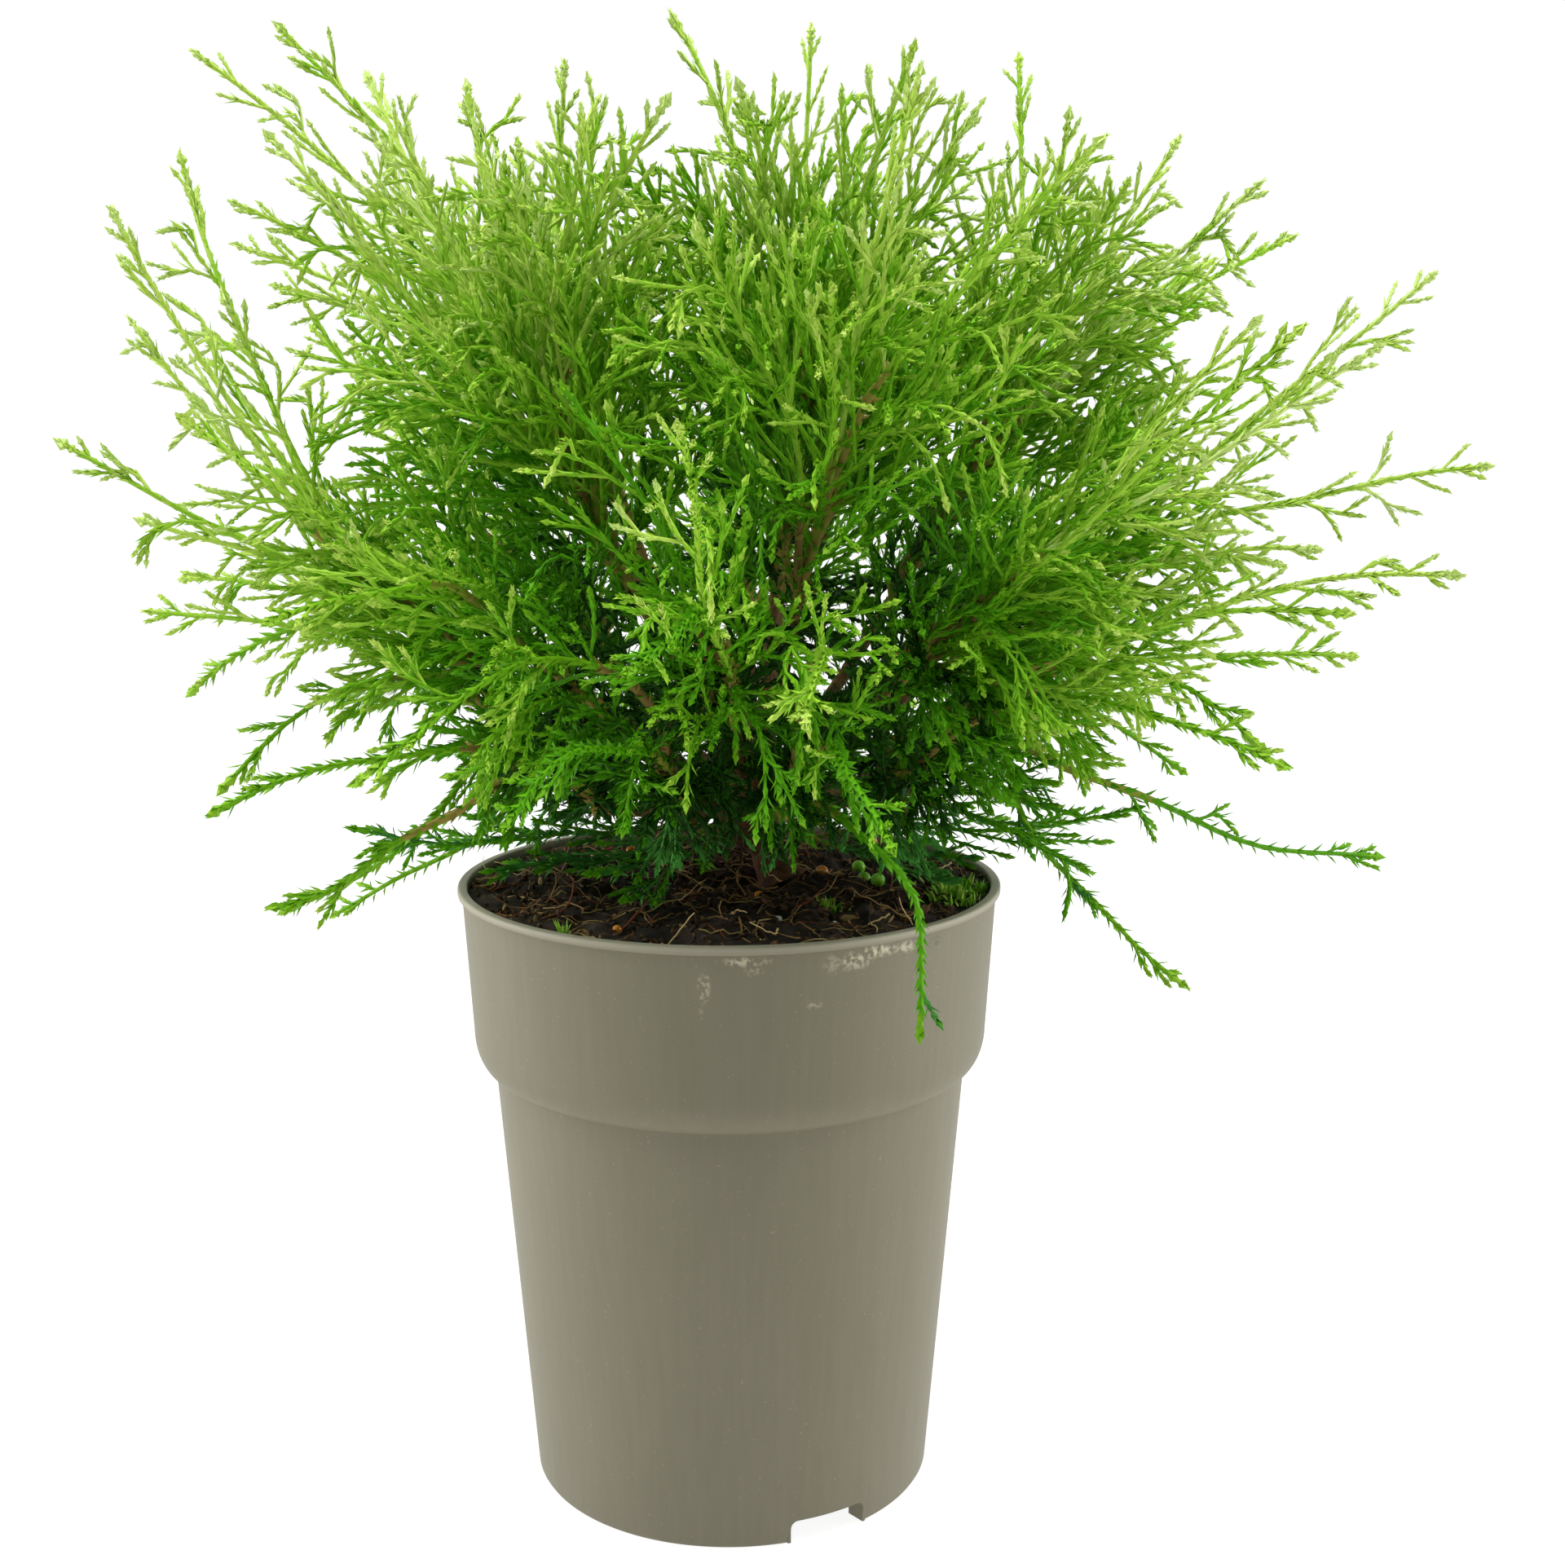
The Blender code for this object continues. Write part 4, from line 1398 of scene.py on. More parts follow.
    def thread(self, shoot: Shoot, threads: Bed, wood: Bed) -> None:
        """Lay the line of one shoot, its bark and its green part apart.

        Args:
            shoot: The shoot.
            threads: Where the green lines go.
            wood: Where the bark's go.
        """
        line = np.array([tuple(point) for point in shoot.points])
        girths = np.array(shoot.girths)
        split = round(shoot.woody * (len(line) - 1))
        # The thread's green is dealt from its spray's painted light, a little darker, with the cold painted
        # shade low down.
        green = max(0, min(GREENS - 1, round((shoot.light - self.thread_shade) * (GREENS - 1))))
        if self.is_cold(line[-1, 2]) and green < Tint.LEAF:
            green = Tint.COLD
        parts = [(threads, line[split:], girths[split:], green)]
        if split:
            knots = 1.0 + self.knot_height * np.sin(np.arange(split + 2) * self.knot_step)
            bark = (Tint.OCHRE, Tint.TAN, Tint.OLIVE)[len(wood.rows) % 3]
            parts.append((wood, line[: split + 2], girths[: split + 2] * knots[: len(line)], bark))
        for bed, points, thick, tint in parts:
            bed.add(place=points, girth=thick, tint=np.full(len(points), tint))

    def build(self, materials: list[Material]) -> None:
        """Make the leaves and the threads, in pieces that each stay under a set number of triangles.

        Args:
            materials: One material for each tint.
        """
        threads, wood = Bed(), Bed()
        pieces: list[tuple[Bed, list[str]]] = [(Bed(), [])]
        for name, shoots in self.crown.shoots.items():
            dice = Random(f"{SEED} {name} leaves")
            fresh = Bed()
            for shoot in shoots:
                self.dress(shoot, fresh, dice)
                self.thread(shoot, threads, wood)
            if (pieces[-1][0].count() + fresh.count()) * self.leaf_triangles > self.most_triangles:
                pieces.append((Bed(), []))
            leaves, nodes = pieces[-1]
            leaves.rows += fresh.rows
            if name in self.crown.boughs:
                nodes.append(f"foliage_{name}")
        shape = leaf_shape(materials[0])
        tree = leaf_tree(materials)
        for number, (leaves, nodes) in enumerate(pieces, 1):
            piece = new_object(f"leaves_{number:02d}", leaves.mesh(f"leaves_{number:02d}"))
            run_tree(piece, tree, {"Leaf": shape, "Size spread": self.size_spread, "Seed": SEED})
            hand_in(piece, "foliage", *nodes)
        bpy.data.objects.remove(shape)
        tree = tube_tree(materials)
        for title, bed, sides, slot in (
            ("threads", threads, self.thread_sides, "foliage"),
            ("twigs", wood, self.wood_sides, "twig_bark"),
        ):
            segments = bed.count() - len(bed.rows)
            parts = max(1, ceil(segments / (self.most_triangles // (2 * sides + 1))))
            each = ceil(len(bed.rows) / parts)
            for part in range(parts):
                name = f"{title}_{part + 1:02d}"
                some = Bed(bed.rows[part * each : (part + 1) * each])
                piece = new_object(name, some.mesh(name, lines=True))
                run_tree(piece, tree, {"Sides": sides, "Girth scale": 1.0})
                hand_in(piece, slot)


def leaf_shape(material: Material) -> Object:
    """One leaf of unit size: a kite folded along its keel, pointing along z, its keel towards x.

    Args:
        material: Its finish.

    Returns:
        The leaf, which the scatter places.
    """
    points = [(0.0, 0.0, 0.0), (-0.45, -0.5, 0.38), (-0.45, 0.5, 0.38), (0.0, 0.0, 1.0)]
    faces = [(0, 1, 2), (3, 2, 1), (0, 3, 1), (0, 2, 3)]
    return solid("leaf_shape", points, faces, material, smooth=False)


def new_tree(name: str, inputs: dict[str, tuple]) -> tuple[NodeTree, Node]:
    """Start a Geometry Nodes tree.

    Args:
        name: The tree's name.
        inputs: The kind of socket and the default value of each named input.

    Returns:
        The tree and its group input node.
    """
    tree = bpy.data.node_groups.new(name, "GeometryNodeTree")
    for way in ("INPUT", "OUTPUT"):
        tree.interface.new_socket("Geometry", in_out=way, socket_type="NodeSocketGeometry")
    for label, (kind, value) in inputs.items():
        socket = tree.interface.new_socket(label, in_out="INPUT", socket_type=kind)
        if value is not None:
            socket.default_value = value
    return tree, add_node(tree, "NodeGroupInput")


def named(tree: NodeTree, kind: str, name: str) -> NodeSocket:
    """A value that the points carry, read by its name."""
    node = add_node(tree, "GeometryNodeInputNamedAttribute", {"Name": name}, data_type=kind)
    return node.outputs["Attribute"]


def end_tree(tree: NodeTree, shape: NodeSocket, materials: list[Material], smooth: bool) -> None:
    """Realize the instances, shade them, and set each face's material by its tint.

    Args:
        tree: The tree.
        shape: The geometry that it has made.
        materials: One material for each tint.
        smooth: Whether the faces are shaded smooth.
    """
    real = add_node(tree, "GeometryNodeRealizeInstances", {0: shape}).outputs[0]
    shape = add_node(tree, "GeometryNodeSetShadeSmooth", {0: real, "Shade Smooth": smooth}).outputs[0]
    tint = named(tree, "INT", "tint")
    for number, material in enumerate(materials):
        feeds = {"Geometry": shape, "Material": material}
        if number:
            sides = {2: tint, 3: number}
            here = add_node(tree, "FunctionNodeCompare", sides, data_type="INT", operation="EQUAL")
            feeds["Selection"] = here.outputs[0]
        shape = add_node(tree, "GeometryNodeSetMaterial", feeds).outputs[0]
    add_node(tree, "NodeGroupOutput", {0: shape})


def leaf_tree(materials: list[Material]) -> NodeTree:
    """The tree that stands a leaf on each point, by the aim, face and size that the point carries.

    Args:
        materials: One material for each tint.

    Returns:
        The tree.
    """
    tree, given = new_tree("leaves_on_points", {
        "Leaf": ("NodeSocketObject", None), "Size spread": ("NodeSocketFloat", 0.1),
        "Seed": ("NodeSocketInt", 0),
    })
    aim, face, size = (named(tree, "FLOAT_VECTOR", name) for name in ("aim", "face", "size"))
    leaf = add_node(tree, "GeometryNodeObjectInfo", {"Object": given.outputs["Leaf"]})
    pointed = add_node(tree, "FunctionNodeAlignRotationToVector", {"Vector": aim}, axis="Z")
    feeds = {"Rotation": pointed.outputs[0], "Vector": face}
    turned = add_node(tree, "FunctionNodeAlignRotationToVector", feeds, axis="X", pivot_axis="Z")
    feeds = {0: 1.0, 1: given.outputs["Size spread"]}
    least, most = (
        add_node(tree, "ShaderNodeMath", feeds, operation=way).outputs[0] for way in ("SUBTRACT", "ADD")
    )
    feeds = {2: least, 3: most, "Seed": given.outputs["Seed"]}
    vary = add_node(tree, "FunctionNodeRandomValue", feeds, data_type="FLOAT")
    grown = add_node(tree, "ShaderNodeVectorMath", {0: size, "Scale": vary.outputs[1]}, operation="SCALE")
    stood = add_node(tree, "GeometryNodeInstanceOnPoints", {
        "Points": given.outputs["Geometry"], "Instance": leaf.outputs["Geometry"],
        "Rotation": turned.outputs[0], "Scale": grown.outputs[0],
    })
    end_tree(tree, stood.outputs[0], materials, False)
    return tree


def tube_tree(materials: list[Material]) -> NodeTree:
    """The tree that turns lines of edges to tubes of the girth that their points carry.

    Args:
        materials: One material for each tint.

    Returns:
        The tree.
    """
    tree, given = new_tree(
        "tubes_along_lines", {"Sides": ("NodeSocketInt", 4), "Girth scale": ("NodeSocketFloat", 1.0)}
    )
    lines = add_node(tree, "GeometryNodeMeshToCurve", {"Mesh": given.outputs["Geometry"]})
    girth = times(tree, named(tree, "FLOAT", "girth"), given.outputs["Girth scale"])
    feeds = {"Resolution": given.outputs["Sides"], "Radius": 1.0}
    ring = add_node(tree, "GeometryNodeCurvePrimitiveCircle", feeds)
    tubes = add_node(tree, "GeometryNodeCurveToMesh", {
        "Curve": lines.outputs[0], "Profile Curve": ring.outputs[0], "Scale": girth, "Fill Caps": True,
    })
    end_tree(tree, tubes.outputs[0], materials, True)
    return tree


def run_tree(made: Object, tree: NodeTree, values: dict) -> None:
    """Run a Geometry Nodes tree on an object and keep its result as a plain mesh.

    Args:
        made: The object.
        tree: The tree.
        values: The value of each of the tree's named inputs.
    """
    modifier = made.modifiers.new("grow", "NODES")
    modifier.node_group = tree
    for item in tree.interface.items_tree:
        if item.in_out == "INPUT" and item.name in values:
            modifier[item.identifier] = values[item.name]
    settled(made)


@dataclass
class Pot:
    """The round nursery pot: a tapered wall, a collar and a beaded rim on a notched foot."""

    bead_height: float = 2.2 * MM
    bead_edge: float = 0.7 * MM
    bead_steps: int = 4
    collar_top_radius: float = 73.9 * MM
    collar_foot_radius: float = 71.4 * MM
    collar_foot_z: float = 130.3 * MM
    body_top_radius: float = 65.8 * MM
    body_top_z: float = 120.2 * MM
    foot_radius: float = 56.1 * MM
    foot_edge: float = 1.0 * MM
    wall: float = 1.5 * MM
    floor: float = 1.6 * MM
    disc_radius: float = 38.0 * MM
    ring_radius: float = 53.0 * MM
    channel: float = 7.0 * MM
    drain_holes: int = 6
    drain_radius: float = 4.5 * MM
    notch_angles: tuple = (-61.0, 119.0)
    notch_width: float = 22.5 * MM
    notch_height: float = 6.6 * MM
    notch_corner: float = 2.0 * MM
    lip_floor: float = 0.3 * MM
    lip_thickness: float = 0.9 * MM
    lip_radii: tuple = (0.2 * MM, -5.5 * MM)
    steps: int = 192
    weld: float = 0.001 * MM
    sharp: float = 32.0
    # Stains: turn in degrees, height, width and length in millimetres, and strength.
    lime_marks: tuple = (
        (-85.6, 167.0, 8.0, 1.6, 0.75), (-84.0, 164.5, 3.0, 1.6, 0.55), (-63.5, 165.4, 6.0, 3.2, 0.75),
        (-58.0, 167.0, 7.5, 2.2, 0.9), (-51.5, 166.6, 5.0, 2.0, 0.7), (-68.5, 165.0, 3.0, 3.5, 0.35),
        (-93.6, 160.5, 2.0, 5.0, 0.75), (-94.2, 154.0, 1.2, 5.0, 0.5), (-71.9, 154.9, 2.6, 1.6, 0.5),
    )
    grime_marks: tuple = (
        (-52.7, 147.0, 1.1, 0.7, 0.9), (-45.5, 145.1, 0.9, 1.3, 0.8), (-43.0, 166.0, 4.0, 2.0, 0.4),
    )

    def __post_init__(self) -> None:
        """Read the pot's height and rim from the frame."""
        low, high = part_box("pot")
        self.height = high.z
        self.rim_radius = (high.x - low.x) / 2

    def wall_line(self, inset: float, top: float, bottom: float, turns: int) -> list[tuple[float, float]]:
        """Points down the outer wall.

        Args:
            inset: How far the line is moved inwards.
            top: The height that it starts at.
            bottom: The height that it ends at.
            turns: How many steps round the collar's shoulder.

        Returns:
            (radius, height) of each point.
        """
        slope = (self.collar_top_radius - self.collar_foot_radius) / (self.height - self.collar_foot_z)
        points = [(self.collar_foot_radius + slope * (top - self.collar_foot_z), top)]
        for index in range(turns + 1):
            turn = radians(90.0 * index / turns)
            across = (self.collar_foot_radius - self.body_top_radius) * cos(turn)
            down = (self.collar_foot_z - self.body_top_z) * sin(turn)
            points.append((self.body_top_radius + across, self.collar_foot_z - down))
        taper = (self.body_top_radius - self.foot_radius) / self.body_top_z
        points.append((self.foot_radius + taper * bottom, bottom))
        return [(radius - inset, height) for radius, height in points]

    def profile(self) -> list[tuple[float, float]]:
        """The whole section of the pot, from the middle of its floor up inside and down outside.

        Returns:
            Pairs of radius and height in metres.
        """
        edge, small, half_wall = self.bead_edge, self.bead_edge * 0.7, self.wall / 2
        floor_top = self.channel + self.floor
        inside = self.wall_line(self.wall, self.height - edge, floor_top, 8)
        line = [(0.0, self.floor), (self.disc_radius - self.wall, self.floor)]
        line += [(self.disc_radius - half_wall, floor_top), *inside[::-1]]
        for across, height, first, size in (
            (inside[0][0] + small, self.height - small, 180.0, small),
            (self.rim_radius - edge, self.height - edge, 90.0, edge),
            (self.rim_radius - edge, self.height - self.bead_height + edge, 0.0, edge),
        ):
            for index in range(self.bead_steps + 1):
                turn = radians(first - 90.0 / self.bead_steps * index)
                line.append((across + size * cos(turn), height + size * sin(turn)))
        return [
            *line,
            *self.wall_line(0.0, self.height - self.bead_height, self.foot_edge, 12),
            (self.foot_radius - 0.4 * self.foot_edge, 0.25 * self.foot_edge),
            (self.foot_radius - self.foot_edge, 0.0),
            (self.ring_radius, 0.0),
            (self.ring_radius - half_wall, self.channel),
            (self.disc_radius + half_wall, self.channel),
            (self.disc_radius, 0.0),
            (0.0, 0.0),
        ]

    def turned(self) -> Object:
        """The pot before anything is cut from it.

        Returns:
            The turned body.
        """
        line = self.profile()
        mesh = bpy.data.meshes.new("pot_profile")
        edges = [(index, index + 1) for index in range(len(line) - 1)]
        mesh.from_pydata([(radius, 0.0, height) for radius, height in line], edges, [])
        made = new_object("moulded_pot", mesh)
        screw = made.modifiers.new("turn", "SCREW")
        screw.steps = screw.render_steps = self.steps
        screw.use_merge_vertices = True
        screw.merge_threshold = 0.01 * MM
        return settled(made)

    def cutters(self) -> list[Object]:
        """The shapes of the drain holes and the foot notches.

        Returns:
            The shapes, as objects.
        """
        made = []
        middle = (self.disc_radius + self.ring_radius) / 2
        for index in range(self.drain_holes):
            turn = Matrix.Rotation(radians((index + 0.5) * 360 / self.drain_holes), 4, "Z")
            shape = bmesh.new()
            bmesh.ops.create_cone(
                shape, cap_ends=True, segments=32, radius1=self.drain_radius, radius2=self.drain_radius,
                depth=3 * self.floor,
                matrix=turn @ Matrix.Translation((middle, 0, self.channel + self.floor / 2)),
            )
            made.append(new_object(f"drain_{index}", mesh_of(f"drain_{index}", shape)))
        depth = 4 * (self.foot_radius - self.ring_radius)
        for index, angle in enumerate(self.notch_angles):
            shape = bmesh.new()
            bmesh.ops.create_cube(shape, size=1.0)
            bmesh.ops.scale(shape, vec=(depth, self.notch_width, 2 * self.notch_height), verts=shape.verts)
            ends = [(edge, [vert.co.x for vert in edge.verts]) for edge in shape.edges]
            edges = [edge for edge, (first, last) in ends if abs(first - last) > depth / 2]
            bmesh.ops.bevel(
                shape, geom=edges, offset=self.notch_corner, segments=8, profile=0.5, affect="EDGES"
            )
            turn = Matrix.Rotation(radians(angle), 4, "Z")
            shape.transform(turn @ Matrix.Translation((self.foot_radius, 0, 0)))
            made.append(new_object(f"notch_{index}", mesh_of(f"notch_{index}", shape)))
        return made

    def notch_line(self) -> list[tuple[float, float]]:
        """The edge of a notch as (across, height), up its left side, over and down its right side.

        Returns:
            The points, in metres.
        """
        half, top, corner = self.notch_width / 2, self.notch_height, self.notch_corner
        line = [(-half, self.lip_floor), (-half, top - corner)]
        for first, middle in ((180.0, -half + corner), (90.0, half - corner)):
            for index in range(1, 6):
                turn = radians(first - 18.0 * index)
                line.append((middle + corner * cos(turn), top - corner + corner * sin(turn)))
        return [*line, (half, self.lip_floor)]

    def lips(self, material: Material) -> Object:
        """The walls that turn in round each notch, as one piece.

        Args:
            material: The pot's finish.

        Returns:
            The lips.
        """
        points: list[tuple[float, float, float]] = []
        faces: list[tuple[int, ...]] = []
        line = self.notch_line()
        for angle in self.notch_angles:
            for index, (across, height) in enumerate(line):
                before, after = line[max(index - 1, 0)], line[min(index + 1, len(line) - 1)]
                run, climb = after[0] - before[0], after[1] - before[1]
                size = hypot(run, climb)
                wide = across + -climb / size * self.lip_thickness
                high = max(height + run / size * self.lip_thickness, self.lip_floor)
                base = len(points)
                for side, level in ((across, height), (wide, high)):
                    turn = radians(angle) + side / self.foot_radius
                    for inset in self.lip_radii:
                        radius = self.foot_radius + inset
                        points.append((radius * cos(turn), radius * sin(turn), level))
                if index:
                    last = base - 4
                    faces += [(last, base, base + 1, last + 1), (last + 2, last + 3, base + 3, base + 2)]
                    faces += [(last, last + 2, base + 2, base), (last + 1, base + 1, base + 3, last + 3)]
                if index in (0, len(line) - 1):
                    faces.append((base, base + 1, base + 3, base + 2))
        return solid("foot_lips", points, faces, material, smooth=False)

    def build(self) -> None:
        """Turn the pot, cut it, and line its notches."""
        finish = MouldedPolypropylene(
            "moulded_polypropylene", "#6f6a52", 0.55, rim_height=self.height / MM,
            lime_marks=self.lime_marks, grime_marks=self.grime_marks,
        ).make()
        pot = self.turned()
        holes = bpy.data.collections.new("pot_cutters")
        bpy.context.scene.collection.children.link(holes)
        cutters = self.cutters()
        for cutter in cutters:
            holes.objects.link(cutter)
        cut = pot.modifiers.new("cut", "BOOLEAN")
        cut.operation = "DIFFERENCE"
        cut.operand_type = "COLLECTION"
        cut.collection = holes
        settled(pot)
        shape = bmesh.new()
        shape.from_mesh(pot.data)
        bmesh.ops.remove_doubles(shape, verts=shape.verts, dist=self.weld)
        shape.to_mesh(pot.data)
        shape.free()
        for cutter in cutters:
            bpy.data.objects.remove(cutter)
        bpy.data.collections.remove(holes)
        pot.data.materials.clear()
        pot.data.materials.append(finish)
        pot.data.shade_smooth()
        pot.data.set_sharp_from_angle(angle=radians(self.sharp))
        hand_in(pot, "pot", "pot")
        hand_in(self.lips(finish), "pot")


@dataclass
class Soil:
    """The compost: a lumpy mound with bark, roots, fertiliser grains and a little moss on it.

    Grains, bits and moss spots are (x, y, radius) in millimetres, and pairs are a draw's least and most.
    """

    rings: int = 84
    turns: int = 220
    level_radius: float = 24.0 * MM
    crown_drop: float = 1.2 * MM
    edge_drop: float = 3.2 * MM
    foot_inset: float = 9.0 * MM
    foot_height: float = 126.0 * MM
    clod: float = 2.6 * MM
    clod_size: float = 9.0
    crumb: float = 0.7 * MM
    crumb_size: float = 1.9
    # The plane that a noise is read in, then its roughness, its lacunarity and its octaves.
    clod_noise: tuple = (0.3, 0.9, 2.1, 3)
    crumb_noise: tuple = (7.0, 0.8, 2.0, 3)
    edge_calm: float = 0.6
    loose_spread: float = 0.2
    litter_reach: float = 0.985
    litter_rise: float = 0.15
    litter_flat: float = 0.8
    lump_depth: float = 0.35
    lump_grain: float = 1.7
    # Name, count, sizes in millimetres, shape and the tones that are dealt out.
    litter: tuple = (
        ("peat_crumbs", 1500, (0.7, 2.2), (0.65, 0.8, 1.0), (0, 0, 0, 1)),
        ("bark_chips", 420, (1.4, 4.2), (0.22, 0.42, 1.0), (2, 2, 1, 3)),
    )
    litter_tones: tuple = (
        ("peat_crumb", "#20170f", 0.95, "#463220", 1.5, 0.4),
        ("peat_fibre", "#3a2a18", 0.95, "#5c442a", 1.5, 0.4),
        ("bark_chip", "#4a2f1b", 0.85, "#7a5433", 1.2, 0.3),
        ("straw_chip", "#7d6236", 0.85, "#a98b55", 1.2, 0.3),
    )
    roots: int = 420
    root_steps: int = 9
    root_sides: int = 5
    root_length: tuple = (6.0, 24.0)
    root_lift: tuple = (1.0, 9.0)
    root_girth: tuple = (0.13, 0.36)
    root_reach: float = 0.95
    root_curl: float = 0.10
    root_waver: float = 0.12
    root_free: float = 0.4
    root_rise: float = 0.3 * MM
    root_arch: float = 1.5
    root_rough: tuple = (-0.1, 0.1)
    root_taper: float = 0.6
    grain_rise: float = 0.7
    grain_sides: tuple = (24, 16)
    root_tones: tuple = (
        ("dead_root_straw", "#c8ab70", 0.8), ("dead_root_tan", "#94703c", 0.8),
        ("dead_root_russet", "#8c4a26", 0.8), ("dead_root_dark", "#45301d", 0.85),
    )
    grains: tuple = (
        ("orange_prills", ("resin_coat_orange", "#e8901c", 0.35), (
            (25.6, 1.4, 1.95), (8.4, -25.2, 1.2), (-27.2, -53.6, 1.2), (-30.0, 34.0, 1.6), (41.0, 38.0, 1.8),
        )),
        ("green_prills", ("resin_coat_green", "#9cf03a", 0.35), (
            (36.1, 8.4, 1.95), (37.3, -2.5, 1.9), (40.8, -8.4, 2.0), (-52.0, 8.0, 1.9),
        )),
        ("perlite_bits", ("perlite", "#d9d5ca", 0.9), (
            (13.6, -41.9, 1.0), (28.1, -43.6, 0.8), (-46.0, 20.0, 1.1), (22.0, 52.0, 0.9),
        )),
    )
    moss_spots: tuple = ((64.0, -8.0, 8.0), (61.0, -20.0, 6.0), (27.0, -30.0, 3.0), (-40.5, -56.9, 1.2))
    moss_tones: tuple = (
        ("moss_deep", "#66a51c", 0.7), ("moss_fresh", "#98cf30", 0.7), ("moss_light", "#bfe058", 0.7),
    )
    moss_per_size: int = 26
    moss_length: tuple = (1.8, 4.6)
    moss_size: tuple = (0.4 * MM, 0.9 * MM)

    def __post_init__(self) -> None:
        """Read the soil's edge and top from the frame."""
        low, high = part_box("soil")
        self.radius = (high.x - low.x) / 2
        self.top = high.z

    def height_at(self, x: float, y: float) -> float:
        """How high the soil's surface is at a place.

        Args:
            x: How far to the right, in metres.
            y: How far to the back, in metres.

        Returns:
            The height in metres.
        """
        share = min(1.0, max(0.0, (hypot(x, y) - self.level_radius) / (self.radius - self.level_radius)))
        crown = self.top - self.crown_drop
        swell = crown - share**2 * (crown - (self.top - self.edge_drop))
        plane, *rule = self.clod_noise
        clods = noise.fractal(Vector((x, y, plane)) * per(self.clod_size), *rule) * self.clod
        plane, *rule = self.crumb_noise
        crumbs = noise.fractal(Vector((x, y, plane)) * per(self.crumb_size), *rule) * self.crumb
        return swell + (clods + crumbs) * (1.0 - self.edge_calm * share**6)

    def spot(self, dice: Random, reach: float) -> tuple[float, float]:
        """A random place on the soil, within a share of its radius.

        Args:
            dice: Where its chances come from.
            reach: The share.

        Returns:
            Its x and y.
        """
        far = self.radius * sqrt(dice.random()) * reach
        turn = dice.uniform(0, 2 * pi)
        return far * cos(turn), far * sin(turn)

    def build(self) -> None:
        """Make the mound and everything that lies on it."""
        peat = Mottled("peat_compost", "#17100a", 0.95, "#35261a", patch=3.5, grain=0.5, depth=0.4).make()
        mound = self.mound(peat)
        self.scatter()
        hand_in(mound, "soil", "soil")
        self.lay_roots()
        self.lay_grains()
        self.lay_moss()

    def mound(self, material: Material) -> Object:
        """The soil as one closed body with a rough top.

        Args:
            material: The soil's finish.

        Returns:
            The mound.
        """
        turns = [2 * pi * step / self.turns for step in range(self.turns)]
        points = [(0.0, 0.0, self.height_at(0.0, 0.0))]
        for ring in range(1, self.rings + 1):
            radius = self.radius * ring / self.rings
            for turn in turns:
                x, y = radius * cos(turn), radius * sin(turn)
                points.append((x, y, self.height_at(x, y)))
        foot = self.radius - self.foot_inset
        points += [(foot * cos(turn), foot * sin(turn), self.foot_height) for turn in turns]
        faces: list[tuple[int, ...]] = []
        for step in range(self.turns):
            after = (step + 1) % self.turns
            faces.append((0, 1 + step, 1 + after))
            for ring in range(self.rings):
                inner, outer = 1 + ring * self.turns, 1 + (ring + 1) * self.turns
                faces.append((inner + step, outer + step, outer + after, inner + after))
        bottom = 1 + self.rings * self.turns
        faces.append(tuple(range(bottom, bottom + self.turns)))
        return solid("compost_mound", points, faces, material)

    def scatter(self) -> None:
        """Strew crumbs of peat and chips of bark over the mound."""
        tones = [
            Mottled(name, first, rough, second, patch=patch, grain=grain).make()
            for name, first, rough, second, patch, grain in self.litter_tones
        ]
        dice = Random(f"{SEED} crumbs")
        for title, count, sizes, shape, choice in self.litter:
            bed = Bed()
            lump = self.lump(dice)
            for _ in range(count):
                x, y = self.spot(dice, self.litter_reach)
                size = dice.uniform(*sizes) * MM * 0.5
                aim = Vector([dice.gauss(0, spread) for spread in (1, 1, self.litter_flat)]).normalized()
                bed.put(
                    place=(x, y, self.height_at(x, y) + self.litter_rise * size), aim=aim,
                    face=leaning_off(aim, 90.0, dice.uniform(0, 360)),
                    size=[share * size for share in shape], tint=dice.choice(choice),
                )
            piece = new_object(title, bed.mesh(title))
            run_tree(piece, leaf_tree(tones), {"Leaf": lump, "Size spread": self.loose_spread, "Seed": SEED})
            hand_in(piece, "soil")
            bpy.data.objects.remove(lump)

    def lump(self, dice: Random) -> Object:
        """A lump of unit radius with an uneven face.

        Args:
            dice: Where its chances come from.

        Returns:
            The lump, which the scatter copies.
        """
        shape = bmesh.new()
        bmesh.ops.create_icosphere(shape, subdivisions=2, radius=1.0)
        for vert in shape.verts:
            shift = Vector((dice.random() * 0.2, 3.0, 1.0))
            vert.co *= 1.0 + self.lump_depth * noise.noise(vert.co * self.lump_grain + shift)
        return new_object("lump", mesh_of("lump", shape))

